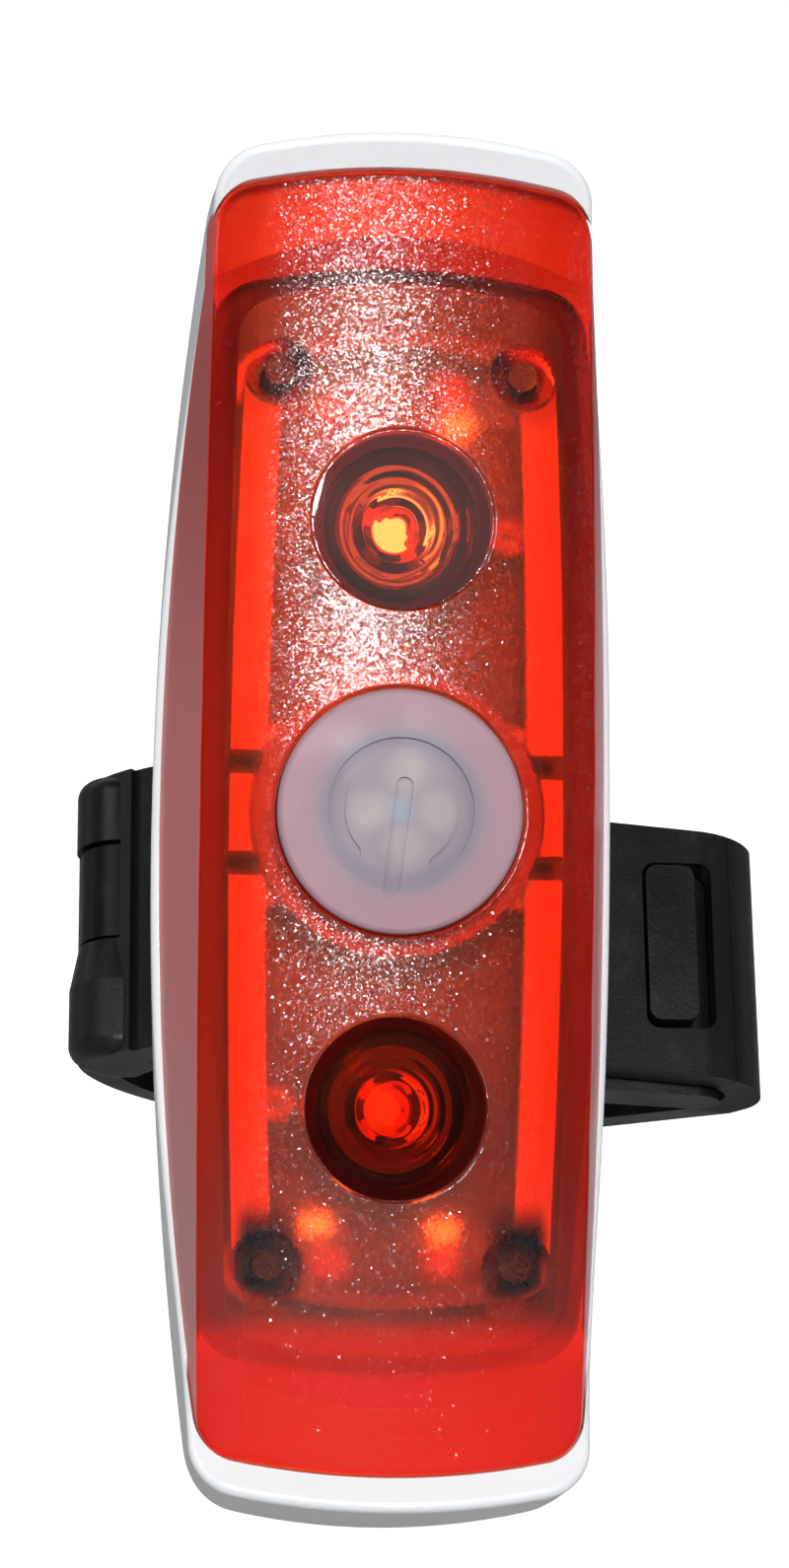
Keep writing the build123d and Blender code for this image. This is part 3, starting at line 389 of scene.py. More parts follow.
@dataclass(frozen=True)
class FineDust:
    """Mask of pale dust that gathers in patches and specks."""

    amount: float = 0.3
    speck_scale: float = 2600.0
    speck_limits: Limits = (0.22, 0.1)
    patch_scale: float = 300.0
    patch_detail: float = 4.0
    patch_roughness: float = 0.6
    patch_limits: Limits = (0.52, 0.72)
    film: float = 0.25

    def build(self) -> bpy.types.NodeTree:
        """Make the group.

        Returns:
            The group.
        """
        tree, given, out = start_group("fine dust", {"Amount": self.amount}, {"Mask": "NodeSocketFloat"})
        cells = tree.add("ShaderNodeTexVoronoi", {"Vector": tree.place(), "Scale": self.speck_scale})
        specks = tree.between(self.speck_limits, cells.outputs["Distance"])
        cloud = tree.noise(self.patch_scale, self.patch_detail, self.patch_roughness)
        patches = tree.between(self.patch_limits, cloud)
        dust = tree.times(tree.math("ADD", specks, self.film), patches)
        tree.feed(out.inputs["Mask"], tree.math("MULTIPLY", dust, given.outputs["Amount"], clamp=True))
        return tree.tree


@dataclass(frozen=True)
class SparkFacets:
    """Tiny tilted facets of a spark-eroded mould, a few of them steep: a normal."""

    scale: float = 7000.0
    tilt: float = 0.1
    least: float = 0.8
    steeper: float = 1.5
    rarity: float = 5.0

    def build(self) -> bpy.types.NodeTree:
        """Make the group.

        Returns:
            The group.
        """
        tree, given, out = start_group(
            "spark facets", {"Scale": self.scale, "Tilt": self.tilt}, {"Normal": "NodeSocketVector"}
        )
        cells = tree.add("ShaderNodeTexVoronoi", {"Vector": tree.place(), "Scale": given.outputs["Scale"]})
        chance = tree.add("ShaderNodeSeparateColor", {"0": cells.outputs["Color"]}).outputs["Green"]
        steepness = tree.rising(self.least, self.steeper, tree.math("POWER", chance, self.rarity))
        tilt = tree.times(steepness, given.outputs["Tilt"])
        way = tree.vector("SUBTRACT", cells.outputs["Color"], (0.5, 0.5, 0.5))
        normal = tree.add("ShaderNodeNewGeometry").outputs["Normal"]
        tree.feed(out.inputs["Normal"], tree.leaning(normal, tree.vector("MULTIPLY", way, tilt)))
        return tree.tree


class SharedEffects:
    """Shader groups that several finishes use."""

    def __init__(self) -> None:
        """Build the groups once."""
        self.grain = MouldedGrain().build()
        self.dust = FineDust().build()
        self.facets = SparkFacets().build()


@dataclass(frozen=True)
class LowCorners:
    """The two corners at the light's low end, inside the frame's rails, where shade is painted."""

    inner: Limits = (4.8 * MM, 6.8 * MM)
    outer: Limits = (9.5 * MM, 8.5 * MM)
    upper: Limits = (-22.8 * MM, -25.4 * MM)
    lower: Limits = (-30.2 * MM, -27.8 * MM)

    def mask(self, tree: ShaderTree) -> Socket:
        """Mark the corners where shade is painted.

        Args:
            tree: The material's nodes.

        Returns:
            The mask's socket.
        """
        side, height = tree.side(), tree.height()
        across = tree.times(tree.between(self.inner, side), tree.between(self.outer, side))
        return tree.times(across, tree.between(self.upper, height), tree.between(self.lower, height))


@dataclass(frozen=True)
class ScrewColumns:
    """The two screw columns at the light's high end, round which shade is painted.

    Attributes:
        radii: Distances from a column's axis at which the mask starts and is full.
        share: The mask's highest value.
    """

    radii: Limits
    share: float

    def mask(self, tree: ShaderTree) -> Socket:
        """Mark the columns' surroundings for painted shade.

        Args:
            tree: The material's nodes.

        Returns:
            The mask's socket.
        """
        columns = [FACE + Vector((side, 0, COLUMN_HEIGHT)) for side in (-COLUMN_SIDE, COLUMN_SIDE)]
        rounds = [tree.between(self.radii, tree.from_point(column)) for column in columns]
        return tree.times(tree.math("MAXIMUM", *rounds), self.share)


class Finish(ABC):
    """One material of the light, named after its slot in the record."""

    slot: str

    @abstractmethod
    def build(self, effects: SharedEffects) -> bpy.types.Material:
        """Make the material.

        Args:
            effects: The shared shader groups.

        Returns:
            The material.
        """


@dataclass(frozen=True)
class PlainFinish(Finish):
    """Solid finish with mould grain, patches of tone and dust.

    Attributes:
        slot: Material slot in the record.
        colour: Base colour.
        roughness: Middle roughness.
        metallic: 1 for bare metal.
        coat: Weight of a clear coat.
        tone: How far patches darken the colour.
        spread: How far patches change the roughness.
        grain: Bump height, in metres.
        grain_scale: Grain cycles in a metre.
        dust: Amount of dust.
        shine: Level of mirrored light on a piece that is no metal.
        dust_colour: Colour of the dust.
        coat_roughness: Roughness of the clear coat.
    """

    slot: str
    colour: Colour
    roughness: float = 0.5
    metallic: float = 0.0
    coat: float = 0.0
    tone: float = 0.12
    spread: float = 0.12
    grain: float = 0.02 * MM
    grain_scale: float = 4000.0
    dust: float = 0.0
    shine: float = 0.5
    dust_colour: Colour = (0.34, 0.33, 0.31)
    coat_roughness: float = 0.08

    def build(self, effects: SharedEffects) -> bpy.types.Material:
        """Make the material.

        Args:
            effects: The shared shader groups.

        Returns:
            The material.
        """
        material, tree, shader = start_material(self.slot)
        grain = tree.group(effects.grain, Scale=self.grain_scale)
        tone = grain.outputs["Tone"]
        dark = tuple(part * (1.0 - 2.0 * self.tone) for part in self.colour)
        base = tree.colour(tone, dark, self.colour)
        if self.dust:
            dust = tree.group(effects.dust, Amount=self.dust)
            base = tree.colour(dust.outputs["Mask"], base, self.dust_colour)
        tree.fill(shader, {
            "Base Color": base,
            "Roughness": tree.rising(self.roughness - self.spread / 2, self.spread, tone),
            "Normal": tree.bump(grain.outputs["Height"], self.grain),
            "Metallic": self.metallic,
            "Coat Weight": self.coat,
            "Coat Roughness": self.coat_roughness,
            "Specular IOR Level": self.shine,
        })
        return material


@dataclass(frozen=True)
class RedCoverResin(Finish):
    """Red clear resin: spark-textured on the middle strip and the sides, polished over the lamps."""

    slot: str = "clear_red"
    bend: float = 1.5

    # Tints of one crossing of the wall, painted shade over the screw columns, the low corners and the
    # window rims, and the tint of the light that falls through it
    tint: Colour = (1.0, 0.145, 0.045)
    end_tint: Colour = (0.72, 0.10, 0.03)
    column_tint: Colour = (0.10, 0.012, 0.004)
    rim_tint: Colour = (0.30, 0.018, 0.005)
    light_tint: Colour = (1.0, 0.36, 0.2)

    # Where each zone starts and is full, from the middle plane, a lamp's axis or the face's middle
    strip_edge: Limits = (9.3 * MM, 6.9 * MM)
    border_edge: Limits = (10.3 * MM, 11.2 * MM)
    window_edge: Limits = (5.5 * MM, 5.43 * MM)
    rim_edge: Limits = (4.1 * MM, 4.9 * MM)
    end_edge: Limits = (31.0 * MM, 33.0 * MM)
    low_edge: Limits = (-29.5 * MM, -32.0 * MM)
    columns: ScrewColumns = ScrewColumns((1.6 * MM, 1.1 * MM), 0.85)

    # Facets: their scale, their tilt and what the middle strip adds to it
    facet_scale: float = 8600.0
    facet_tilt: float = 0.045
    strip_tilt: float = 0.115

    # Roughness of the polished windows, the textured skin and what clouds and the strip add to it
    polish: float = 0.01
    roughness: float = 0.105
    cloud_roughness: float = 0.03
    strip_roughness: float = 0.07
    cloud_scale: float = 420.0
    cloud_detail: float = 3.0
    cloud_limits: Limits = (0.3, 0.7)

    # The inner face is rougher, and over the lamps it stands at a small angle to the outer one
    inner_polish: float = 0.05
    inner_roughness: float = 0.2
    inner_strip_roughness: float = 0.12
    wedge: float = 0.13

    # Milky scatter at the border and the low end
    scatter: Colour = (1.0, 0.02, 0.006)
    scatter_share: float = 0.28
    border_share: float = 0.35

    # Painted sheen of the side walls: a pale reflection painted into their colour, shown at a grazing view
    wall_square_on: Colour = (0.45, 0.02, 0.012)
    wall_top: Colour = (0.42, 0.05, 0.045)
    wall_middle: Colour = (0.70, 0.18, 0.185)
    wall_low: Colour = (0.60, 0.30, 0.31)
    wall_upper_edge: Limits = (26.3 * MM, 0.3 * MM)
    wall_lower_edge: Limits = (-3.7 * MM, -29.7 * MM)
    wall_facing: Limits = (0.6, 0.75)
    grazing_limits: Limits = (0.2, 0.55)
    wall_roughness: float = 0.42
    wall_share: float = 0.7

    def build(self, effects: SharedEffects) -> bpy.types.Material:
        """Make the material.

        Args:
            effects: The shared shader groups.

        Returns:
            The material.
        """
        material, tree, glass = start_material(self.slot)
        strip = tree.between(self.strip_edge, tree.side())
        windows = tree.between(self.window_edge, tree.from_lamp())
        textured = tree.math("SUBTRACT", 1.0, windows)
        tilt = tree.times(tree.rising(self.facet_tilt, self.strip_tilt, strip), textured)
        facets = tree.group(effects.facets, Scale=self.facet_scale, Tilt=tilt).outputs["Normal"]
        inner_face = tree.add("ShaderNodeNewGeometry").outputs["Backfacing"]
        wedge = tree.add("ShaderNodeCombineXYZ", {"X": tree.times(inner_face, windows, self.wedge)})
        tree.fill(glass, {
            "Base Color": self.wall_tint(tree, windows),
            "Roughness": self.skin_roughness(tree, strip, textured, inner_face),
            "Normal": tree.leaning(facets, wedge.outputs[0]),
            "IOR": self.bend,
            "Transmission Weight": 1.0,
        })
        milk = tree.add("ShaderNodeBsdfDiffuse", {"Color": self.scatter}).outputs[0]
        body = tree.shaders(self.milky_share(tree), tree.thin_film(glass, self.light_tint), milk)
        sides = tree.between(self.wall_facing, tree.math("ABSOLUTE", tree.facing()))
        tree.show(tree.shaders(tree.times(sides, self.wall_share), body, self.side_skin(tree, facets)))
        return material

    def wall_tint(self, tree: ShaderTree, windows: Socket) -> Socket:
        """Colour the resin: deeper at both ends, with painted shade over the screw columns, the low
        corners and the window rims.

        Args:
            tree: The material's nodes.
            windows: Mask of the polished windows.

        Returns:
            The tint's socket.
        """
        ends = tree.between(self.end_edge, tree.math("ABSOLUTE", tree.height()))
        tint = tree.colour(ends, self.tint, self.end_tint)
        # Painted shade: the resin is darkened over the screw columns and the low corners, and on the
        # window rims
        dark = tree.math("MAXIMUM", self.columns.mask(tree), LowCorners().mask(tree))
        tint = tree.colour(dark, tint, self.column_tint)
        rim = tree.times(windows, tree.between(self.rim_edge, tree.from_lamp()))
        return tree.colour(rim, tint, self.rim_tint)

    def skin_roughness(
        self, tree: ShaderTree, strip: Socket, textured: Socket, inner_face: Socket
    ) -> Socket:
        """Roughen the resin: cloudy outside, coarser on the middle strip and inside.

        Args:
            tree: The material's nodes.
            strip: Mask of the middle strip.
            textured: Mask of all but the polished windows.
            inner_face: 1 where a ray meets the wall from within.

        Returns:
            The roughness's socket.
        """
        clouds = tree.between(self.cloud_limits, tree.noise(self.cloud_scale, self.cloud_detail))
        outer = tree.rising(self.roughness, self.cloud_roughness, clouds)
        outer = tree.rising(outer, self.strip_roughness, strip)
        outer = tree.rising(self.polish, outer, textured)
        inner = tree.rising(self.inner_roughness, self.inner_strip_roughness, strip)
        inner = tree.rising(self.inner_polish, inner, textured)
        return tree.math("MAXIMUM", outer, tree.times(inner, inner_face))

    def milky_share(self, tree: ShaderTree) -> Socket:
        """Share of the scatter, at the border and the low end.

        Args:
            tree: The material's nodes.

        Returns:
            The share's socket.
        """
        border = tree.times(tree.between(self.border_edge, tree.side()), self.border_share)
        low_end = tree.between(self.low_edge, tree.height())
        return tree.times(tree.math("MAXIMUM", border, low_end), self.scatter_share)

    def side_skin(self, tree: ShaderTree, facets: Socket) -> Socket:
        """Make the side walls' shader: deep red square on, with a painted pale sheen at a grazing view
        that is paler towards the low end.

        Args:
            tree: The material's nodes.
            facets: The facets' normal.

        Returns:
            The skin's shader.
        """
        height = tree.height()
        # Painted sheen: pale reflection colours, paler towards the low end, faded in at a grazing view
        pale = tree.colour(tree.between(self.wall_upper_edge, height), self.wall_top, self.wall_middle)
        pale = tree.colour(tree.between(self.wall_lower_edge, height), pale, self.wall_low)
        grazing = tree.add("ShaderNodeLayerWeight").outputs["Facing"]
        pale = tree.colour(tree.between(self.grazing_limits, grazing), self.wall_square_on, pale)
        inputs = {"Base Color": pale, "Roughness": self.wall_roughness, "Normal": facets}
        return tree.add("ShaderNodeBsdfPrincipled", inputs).outputs[0]


@dataclass(frozen=True)
class FrameWhite(Finish):
    """White moulding with painted shade in its corners, round the screws and on its inward walls, and a
    dark bar across it near each end.
    """

    slot: str = "frame_white"
    roughness: float = 0.5
    white: Colour = (0.86, 0.86, 0.84)
    # Painted shade: the colour of the corners and the screws' surroundings, and of the walls that face the
    # middle
    corner: Colour = (0.06, 0.045, 0.045)
    inward: Colour = (0.30, 0.28, 0.27)
    bar: Colour = (0.13, 0.11, 0.1)
    grey: Colour = (0.5, 0.5, 0.5)
    grey_share: float = 0.06
    inward_limits: Limits = (-3.0 * MM, -6.0 * MM)
    bar_height: Limits = (25.0 * MM, 26.5 * MM)
    bar_side: Limits = (7.2 * MM, 6.2 * MM)
    columns: ScrewColumns = ScrewColumns((3.8 * MM, 2.4 * MM), 0.35)

    def build(self, effects: SharedEffects) -> bpy.types.Material:
        """Make the material.

        Args:
            effects: The shared shader groups.

        Returns:
            The material.
        """
        material, tree, shader = start_material(self.slot)
        # Painted shade on the walls that face the middle, in the corners and round the screws
        outward = tree.times(tree.facing(), tree.axis("X"))
        base = tree.colour(tree.between(self.inward_limits, outward), self.white, self.inward)
        dark = tree.math("MAXIMUM", self.columns.mask(tree), LowCorners().mask(tree))
        base = tree.colour(dark, base, self.corner)
        level = tree.between(self.bar_height, tree.math("ABSOLUTE", tree.height()))
        crossing = tree.times(level, tree.between(self.bar_side, tree.side()))
        base = tree.colour(crossing, base, self.bar)
        patches = tree.times(tree.group(effects.grain).outputs["Tone"], self.grey_share)
        base = tree.colour(patches, base, self.grey)
        tree.fill(shader, {"Base Color": base, "Roughness": self.roughness})
        return material


@dataclass(frozen=True)
class LampPhosphor(Finish):
    """Yellow dome with a painted glow: strong on the upper one, faint on the lower one."""

    slot: str = "phosphor"
    roughness: float = 0.3
    dome: Colour = (1.0, 0.72, 0.12)
    patch: Colour = (0.9, 0.5, 0.06)
    patch_share: float = 0.3
    patch_scale: float = 900.0
    # Painted glow: emission that stands in for light falling on the domes, strong on the upper one and
    # faint on the lower one
    lit: Colour = (1.0, 0.84, 0.5)
    faint: Colour = (0.10, 0.02, 0.004)
    strength: float = 6.0
    upper_edge: Limits = (-1.0 * MM, 1.0 * MM)

    def build(self, effects: SharedEffects) -> bpy.types.Material:
        """Make the material.

        Args:
            effects: The shared shader groups.

        Returns:
            The material.
        """
        material, tree, shader = start_material(self.slot)
        grain = tree.group(effects.grain, Patches=self.patch_scale)
        patches = tree.times(grain.outputs["Tone"], self.patch_share)
        upper = tree.between(self.upper_edge, tree.height())
        tree.fill(shader, {
            "Base Color": tree.colour(patches, self.dome, self.patch),
            "Roughness": self.roughness,
            "Emission Color": tree.colour(upper, self.faint, self.lit),
            "Emission Strength": self.strength,
        })
        return material


@dataclass(frozen=True)
class LampPackage(Finish):
    """Small lamp bodies with a painted glow: bright at the board's ends but dim on the upper left one;
    under the lenses and the button they hardly glow and take a painted shaded colour.
    """

    slot: str = "lamp_white"
    roughness: float = 0.4
    body: Colour = (0.95, 0.62, 0.22)
    patch: Colour = (0.8, 0.45, 0.15)
    patch_share: float = 0.2
    shaded: Colour = (0.85, 0.2, 0.08)
    lit: Colour = (1.0, 0.6, 0.22)
    dim: Colour = (0.12, 0.04, 0.01)
    quiet: Colour = (0.02, 0.005, 0.0)
    strength: float = 3.6
    under_lens: Limits = (7.0 * MM, 6.0 * MM)
    under_button: Limits = (8.0 * MM, 7.0 * MM)
    left_side: Limits = (1.0 * MM, -1.0 * MM)
    upper_half: Limits = (0.0 * MM, 2.0 * MM)

    def build(self, effects: SharedEffects) -> bpy.types.Material:
        """Make the material.

        Args:
            effects: The shared shader groups.

        Returns:
            The material.
        """
        material, tree, shader = start_material(self.slot)
        patches = tree.times(tree.group(effects.grain).outputs["Tone"], self.patch_share)
        base = tree.colour(patches, self.body, self.patch)
        lens = tree.between(self.under_lens, tree.from_lamp())
        button = tree.between(self.under_button, tree.from_point(FACE))
        hidden = tree.math("MAXIMUM", lens, button)
        left = tree.between(self.left_side, tree.axis("X"))
        upper_left = tree.times(left, tree.between(self.upper_half, tree.height()))
        # Painted glow: bright at the board's ends, dim on the upper left one, and hardly any under the
        # lenses and the button, where the colour is a painted shaded copy
        glow = tree.colour(upper_left, self.lit, self.dim)
        tree.fill(shader, {
            "Base Color": tree.colour(hidden, base, self.shaded),
            "Roughness": self.roughness,
            "Emission Color": tree.colour(hidden, glow, self.quiet),
            "Emission Strength": self.strength,
        })
        return material


@dataclass(frozen=True)
class MilkySilicone(Finish):
    """Translucent pale silicone over four small lamps, with their glow painted on it as four lobes and
    painted shade round the symbol's curved groove.
    """

    slot: str = "silicone_clear"
    roughness: Limits = (0.36, 0.5)
    shine: float = 0.25
    grain: float = 0.01 * MM
    grain_scale: float = 3000.0

    outer: Colour = (0.355, 0.205, 0.24)
    middle: Colour = (0.26, 0.21, 0.255)
    # Painted light: lobe is the painted glow of the lamps beneath, ring is painted shade round the
    # symbol's curved groove
    lobe: Colour = (0.37, 0.33, 0.315)
    core: Colour = (0.25, 0.275, 0.335)
    ring: Colour = (0.20, 0.175, 0.225)
    patch: Colour = (0.32, 0.235, 0.28)
    lobe_share: float = 0.75
    ring_share: float = 0.8
    patch_share: float = 0.25
    patch_scale: float = 300.0

    # Distances from the button's middle, or from a lobe's, where each zone starts and is full
    outer_edge: Limits = (4.3 * MM, 6.2 * MM)
    ring_inner: Limits = (3.6 * MM, 4.1 * MM)
    ring_outer: Limits = (5.1 * MM, 4.6 * MM)
    core_edge: Limits = (1.2 * MM, 0.4 * MM)
    lobe_edge: Limits = (1.9 * MM, 0.5 * MM)

    # Where the lobes of painted glow lie on the button, across and up
    lobes: tuple[Limits, ...] = (
        (0.25 * MM, 2.3 * MM), (-2.05 * MM, 0.0 * MM), (2.2 * MM, 0.0 * MM), (0.25 * MM, -2.1 * MM)
    )

    def build(self, effects: SharedEffects) -> bpy.types.Material:
        """Make the material.

        Args:
            effects: The shared shader groups.

        Returns:
            The material.
        """
        material, tree, shader = start_material(self.slot)
        grain = tree.group(effects.grain, Scale=self.grain_scale, Patches=self.patch_scale)
        tone = grain.outputs["Tone"]
        low, high = self.roughness
        base = tree.colour(tree.times(tone, self.patch_share), self.glow(tree), self.patch)
        tree.fill(shader, {
            "Base Color": base,
            "Roughness": tree.rising(low, high - low, tone),
            "Normal": tree.bump(grain.outputs["Height"], self.grain),
            "Specular IOR Level": self.shine,
        })
        return material

    def glow(self, tree: ShaderTree) -> Socket:
        """Colour the button: a pale rim, four soft lobes of painted glow from the lamps beneath, a core
        and a thin ring of painted shade round the symbol's curved groove.

        Args:
            tree: The material's nodes.

        Returns:
            The colour's socket.
        """
        away = tree.from_point(FACE)
        base = tree.colour(tree.between(self.outer_edge, away), self.middle, self.outer)
        for across, up in self.lobes:
            near = tree.between(self.lobe_edge, tree.from_point(FACE + Vector((across, 0, up))))
            base = tree.colour(tree.times(near, self.lobe_share), base, self.lobe)
        base = tree.colour(tree.between(self.core_edge, away), base, self.core)
        ring = tree.times(tree.between(self.ring_inner, away), tree.between(self.ring_outer, away))
        return tree.colour(tree.times(ring, self.ring_share), base, self.ring)


@dataclass(frozen=True)
class ClearLens(Finish):
    """Clear moulded lens with a stepped side wall that lets lamplight through, painted dark as shade, with
    painted highlights on the steps at its right side.
    """

    slot: str = "clear_lens"
    roughness: float = 0.02
    bend: float = 1.2
    clear: Colour = (0.98, 0.98, 0.98)
    film: Colour = (0.97, 0.97, 0.97)
    # Painted shade: the dark tint of the stepped side wall; painted highlight: the paler tint on the steps
    # at the right side
    stepped: Colour = (0.011, 0.005, 0.003)
    arc: Colour = (0.3, 0.2, 0.12)
    middle_edge: Limits = (2.1 * MM, 2.4 * MM)
    step_width: float = 0.62 * MM
    step_height: float = 0.02 * MM
    arc_limits: Limits = (0.2, 0.95)
    arc_side: Limits = (0.8 * MM, 3.0 * MM)

    def build(self, effects: SharedEffects) -> bpy.types.Material:
        """Make the material.

        Args:
            effects: The shared shader groups.

        Returns:
            The material.
        """
        material, tree, glass = start_material(self.slot)
        away = tree.from_lamp()
        steps = tree.math("SINE", tree.times(away, 2.0 * math.pi / self.step_width))
        # Painted highlight on the steps at the right side only, over the painted dark side wall
        right = tree.between(self.arc_side, tree.axis("X"))
        painted_highlight_arcs = tree.times(tree.between(self.arc_limits, steps), right)
        sides = tree.colour(painted_highlight_arcs, self.stepped, self.arc)
        tree.fill(glass, {
            "Base Color": tree.colour(tree.between(self.middle_edge, away), self.clear, sides),
            "Roughness": self.roughness,
            "Normal": tree.bump(steps, self.step_height),
            "IOR": self.bend,
            "Transmission Weight": 1.0,
        })
        tree.show(tree.thin_film(glass, self.film))
        return material


FINISHES: tuple[Finish, ...] = (
    PlainFinish(
        "white_shell", (0.80, 0.82, 0.84), 0.32, coat=0.3, tone=0.01, spread=0.04, grain=0.003 * MM
    ),
    PlainFinish("seal_rubber", (0.16, 0.09, 0.09), 0.7),
    PlainFinish("board_dark", (0.035, 0.03, 0.03), 0.4, tone=0.25, grain_scale=1500.0),
    PlainFinish("screw_steel", (0.16, 0.16, 0.16), 0.55, metallic=1.0),
    PlainFinish("black_plastic", (0.02, 0.018, 0.02), 0.25, tone=0.1),
    PlainFinish("chip_black", (0.03, 0.03, 0.03), 0.45),
    PlainFinish("capacitor_tan", (0.85, 0.45, 0.22), 0.4),
    PlainFinish("pouch_silver", (0.75, 0.76, 0.78), 0.3, metallic=1.0),
    PlainFinish("foam_grey", (0.25, 0.25, 0.27), 0.9, grain=0.1 * MM, grain_scale=1800.0),
    PlainFinish("lead_red", (0.5, 0.03, 0.03), 0.35),
    PlainFinish("connector_white", (0.8, 0.79, 0.72), 0.4),
    PlainFinish("board_green", (0.03, 0.16, 0.08), 0.3),
    PlainFinish("shell_steel", (0.7, 0.7, 0.7), 0.22, metallic=1.0),
    PlainFinish("flap_rubber", (0.03, 0.03, 0.032), 0.55, dust=0.25),
    PlainFinish("strap_rubber", (0.007, 0.007, 0.0085), 0.40, tone=0.15, dust=0.1, shine=0.16),
    PlainFinish("bracket_black", (0.009, 0.009, 0.0105), 0.34, tone=0.15, dust=0.08, shine=0.22),
    PlainFinish("pad_rubber", (0.03, 0.03, 0.03), 0.7, dust=0.2),
    RedCoverResin(),
    FrameWhite(),
    LampPhosphor(),
    LampPackage(),
    MilkySilicone(),
    ClearLens(),
)


class Wardrobe:
    """Every finish of the light, by its slot."""

    def __init__(self) -> None:
        """Build all materials."""
        effects = SharedEffects()
        self.materials = {finish.slot: finish.build(effects) for finish in FINISHES}

    def dress(self, piece: bpy.types.Object, slot: str) -> None:
        """Give a piece its finish.

        Args:
            piece: A CAD node.
            slot: The finish's slot.
        """
        piece.data.materials.clear()
        piece.data.materials.append(self.materials[slot])
        log.info("%s: %s", piece.name, slot)


@dataclass(frozen=True)
class MovingBody:
    """Pieces of the light that move as one, such as the lamp head, its button or the mount.

    Attributes:
        name: The body's name in the record.
        slots: Material slot of each piece.
    """

    name: str
    slots: dict[str, str]

    def dress(self, wardrobe: Wardrobe) -> None:
        """Give each piece the finish that the record names.

        Args:
            wardrobe: The finishes.
        """
        log.info("%s: %d pieces", self.name, len(self.slots))
        for piece, slot in self.slots.items():
            wardrobe.dress(frame["nodes"][piece], slot)


class BikeLight:
    """The whole light, as the bodies that the record lists."""

    def __init__(self) -> None:
        """Read the bodies and their slots from the record."""
        record = frame["record"]
        slots = {part["node"]: part["material_slot"] for part in record["subparts"]}
        self.bodies = [
            MovingBody(name, {piece: slots[piece] for piece in pieces})
            for name, pieces in record["behaviour"]["bodies"].items()
        ]

    def dress(self, wardrobe: Wardrobe) -> None:
        """Dress every body."""
        for body in self.bodies:
            body.dress(wardrobe)


class LampShape(Enum):
    """Outlines of a soft lamp."""

    DISC = "DISK"
    SQUARE = "SQUARE"


@dataclass(frozen=True)
class SoftLamp:
    """Lamp that faces the light.

    Attributes:
        name: The lamp's name.
        place: Its centre, in metres.
        size: Its side or diameter, in metres.
        power: Its power, in watts.
        shape: Its outline.
        target: The point that it faces.
    """

    name: str
    place: tuple[float, float, float]
    size: float
    power: float
    shape: LampShape = LampShape.SQUARE
    target: tuple[float, float, float] = (0.0, -0.03, 0.007)

    def hang(self) -> None:
        """Make the lamp and turn it to its target."""
        data = bpy.data.lights.new(self.name, "AREA")
        data.shape = self.shape.value
        data.size = self.size
        data.energy = self.power
        item = bpy.data.objects.new(self.name, data)
        item.location = self.place
        away = Vector(self.place) - Vector(self.target)
        item.rotation_euler = away.to_track_quat("Z", "Y").to_euler()
        bpy.context.scene.collection.objects.link(item)


@dataclass(frozen=True)
class PhotoCamera:
    """Camera where the photograph was taken from.

    Attributes:
        place: Where it stands, in millimetres.
        aim: The point that it looks at, in millimetres.
        roll: How far it leans, in degrees.
        lens: Its focal length, in millimetres.
        sensor: Its sensor's longer side, in millimetres.
        nearest: Nearest distance that it sees, in metres.
    """

    place: tuple[float, float, float] = (-23.4, -294.7, -16.7)
    aim: tuple[float, float, float] = (-0.4, -47.0, 9.3)
    roll: float = 0.67
    lens: float = 96.2
    sensor: float = 36.0
    nearest: float = 0.01

    def stand(self) -> None:
        """Put the camera in its place."""
        data = bpy.data.cameras.new("photo camera")
        data.lens = self.lens
        data.sensor_width = self.sensor
        data.clip_start = self.nearest
        item = bpy.data.objects.new("photo camera", data)
        place = Vector(self.place) * MM
        forward = (Vector(self.aim) * MM - place).normalized()
        right = forward.cross(Vector((0, 0, 1))).normalized()
        up = right.cross(forward)
        lean = math.radians(self.roll)
        across = right * math.cos(lean) + up * math.sin(lean)
        upright = up * math.cos(lean) - right * math.sin(lean)
        turn = Matrix((across, upright, -forward)).transposed().to_4x4()
        item.matrix_world = Matrix.Translation(place) @ turn
        bpy.context.scene.collection.objects.link(item)
        bpy.context.scene.camera = item


@dataclass(frozen=True)
class PaleSurround:
    """World that is white to the camera and behind the light, and dim on the camera's side.

    Attributes:
        ambient: Strength for plain surfaces.
        mirrored: Strength in mirrors that face the camera's side.
        backdrop: How far towards the back a mirror looks where it starts to turn white and is white.
    """

    ambient: float = 0.345
    mirrored: float = 0.05
    backdrop: Limits = (-0.2, 0.4)

    def spread(self) -> None:
        """Make the world."""
        world = bpy.data.worlds.new("pale surround")
        world.use_nodes = True
        bpy.context.scene.world = world
        tree = ShaderTree(world.node_tree)
        path = tree.add("ShaderNodeLightPath")
        seen = tree.math("MAXIMUM", path.outputs["Is Camera Ray"], path.outputs["Is Transmission Ray"])
        toward = tree.axis("Y", tree.add("ShaderNodeTexCoord").outputs["Generated"])
        behind = tree.between(self.backdrop, toward)
        shine = tree.rising(self.mirrored - self.ambient, 1.0 - self.mirrored, behind)
        unseen = tree.rising(self.ambient, shine, path.outputs["Is Glossy Ray"])
        tree.fill(world.node_tree.nodes["Background"], {
            "Color": WHITE,
            "Strength": tree.math("MAXIMUM", unseen, seen),
        })


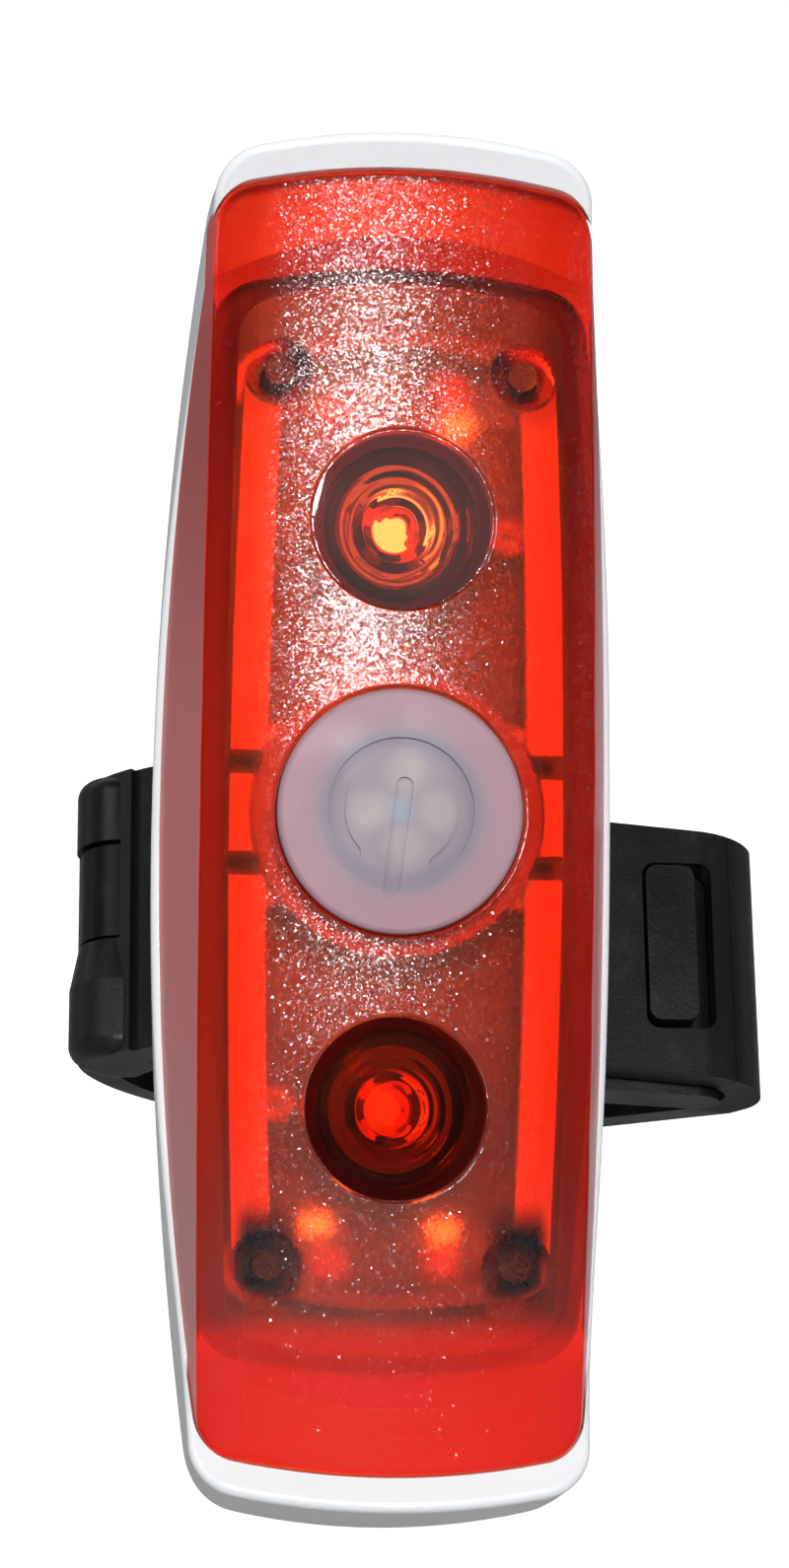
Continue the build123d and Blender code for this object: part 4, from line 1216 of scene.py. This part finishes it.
@dataclass(frozen=True)
class WhiteSweep:
    """Floor under the light that curves up behind it.

    Attributes:
        gap: Height of the light's lowest point above it, in metres.
        width: Its width, in metres.
        length: Its length along the floor and the wall, in metres.
        front: Where it starts, in metres in front of the light.
        bend_start: Where it starts to curve up, in metres behind the light.
        bend_radius: Radius of the curve, in metres.
        columns: Faces across it.
        rows: Faces along it.
        shown: Its colour to the camera.
        bounce: Brightness of its colour to all else.
        glow: Its own light, to the camera only.
        roughness: Its roughness.
    """

    gap: float = 0.03
    width: float = 4.0
    length: float = 2.4
    front: float = 0.9
    bend_start: float = 0.35
    bend_radius: float = 0.35
    columns: int = 2
    rows: int = 48
    shown: Colour = (0.9, 0.9, 0.9)
    bounce: float = 0.52
    glow: float = 0.75
    roughness: float = 0.9

    def lay(self) -> None:
        """Make the floor and its finish."""
        bpy.ops.object.select_all(action="DESELECT")
        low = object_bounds()[0][2] - self.gap
        bpy.ops.mesh.primitive_grid_add(
            x_subdivisions=self.columns, y_subdivisions=self.rows, size=1, location=(0, 0, 0)
        )
        floor = bpy.context.object
        floor.name = "studio_floor"
        for vertex in floor.data.vertices:
            run = (vertex.co.y + 0.5) * self.length - self.front
            past = max(0.0, run - self.bend_start)
            angle = min(past / self.bend_radius, math.pi / 2)
            wall = max(0.0, past - self.bend_radius * math.pi / 2)
            vertex.co.x *= self.width
            vertex.co.y = min(run, self.bend_start) + self.bend_radius * math.sin(angle)
            vertex.co.z = low + self.bend_radius * (1 - math.cos(angle)) + wall
        floor.data.shade_smooth()
        floor.data.materials.append(self.finish())
        floor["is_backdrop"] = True

    def finish(self) -> bpy.types.Material:
        """Make the floor's finish, which is white to the camera.

        Returns:
            The material.
        """
        material, tree, shader = start_material("studio_white")
        seen = tree.add("ShaderNodeLightPath").outputs["Is Camera Ray"]
        tree.fill(shader, {
            "Base Color": tree.colour(seen, (self.bounce, self.bounce, self.bounce), self.shown),
            "Roughness": self.roughness,
            "Emission Color": WHITE,
            "Emission Strength": tree.times(seen, self.glow),
        })
        return material


@dataclass(frozen=True)
class Studio:
    """Camera, lamps, world and a pale sweep behind the light.

    Attributes:
        camera: The camera.
        surround: The world.
        sweep: The floor.
        lamps: A small disc in front with a dim halo, a broad lamp on each side and one behind.
    """

    camera: PhotoCamera = PhotoCamera()
    surround: PaleSurround = PaleSurround()
    sweep: WhiteSweep = WhiteSweep()
    lamps: tuple[SoftLamp, ...] = (
        SoftLamp("front lamp", (-0.0122, -0.66, 0.146), 0.108, 2.65, LampShape.DISC),
        SoftLamp("halo lamp", (0.0, -0.70, 0.185), 0.20, 0.085, LampShape.DISC),
        SoftLamp("left lamp", (-0.45, -0.50, 0.42), 0.35, 1.0),
        SoftLamp("right lamp", (0.50, -0.42, 0.20), 0.35, 0.32),
        SoftLamp("rear lamp", (0.30, 0.75, 0.45), 0.40, 4.0),
    )

    def build(self) -> None:
        """Build everything round the light."""
        self.camera.stand()
        for lamp in self.lamps:
            lamp.hang()
        self.surround.spread()
        self.sweep.lay()


def main() -> None:
    """Dress the light and build its studio."""
    logging.basicConfig(level=logging.INFO, format="%(name)s %(message)s")
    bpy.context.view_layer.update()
    bpy.context.scene.view_settings.view_transform = "Standard"
    BikeLight().dress(Wardrobe())
    Studio().build()


if __name__ == "__main__":
    main()
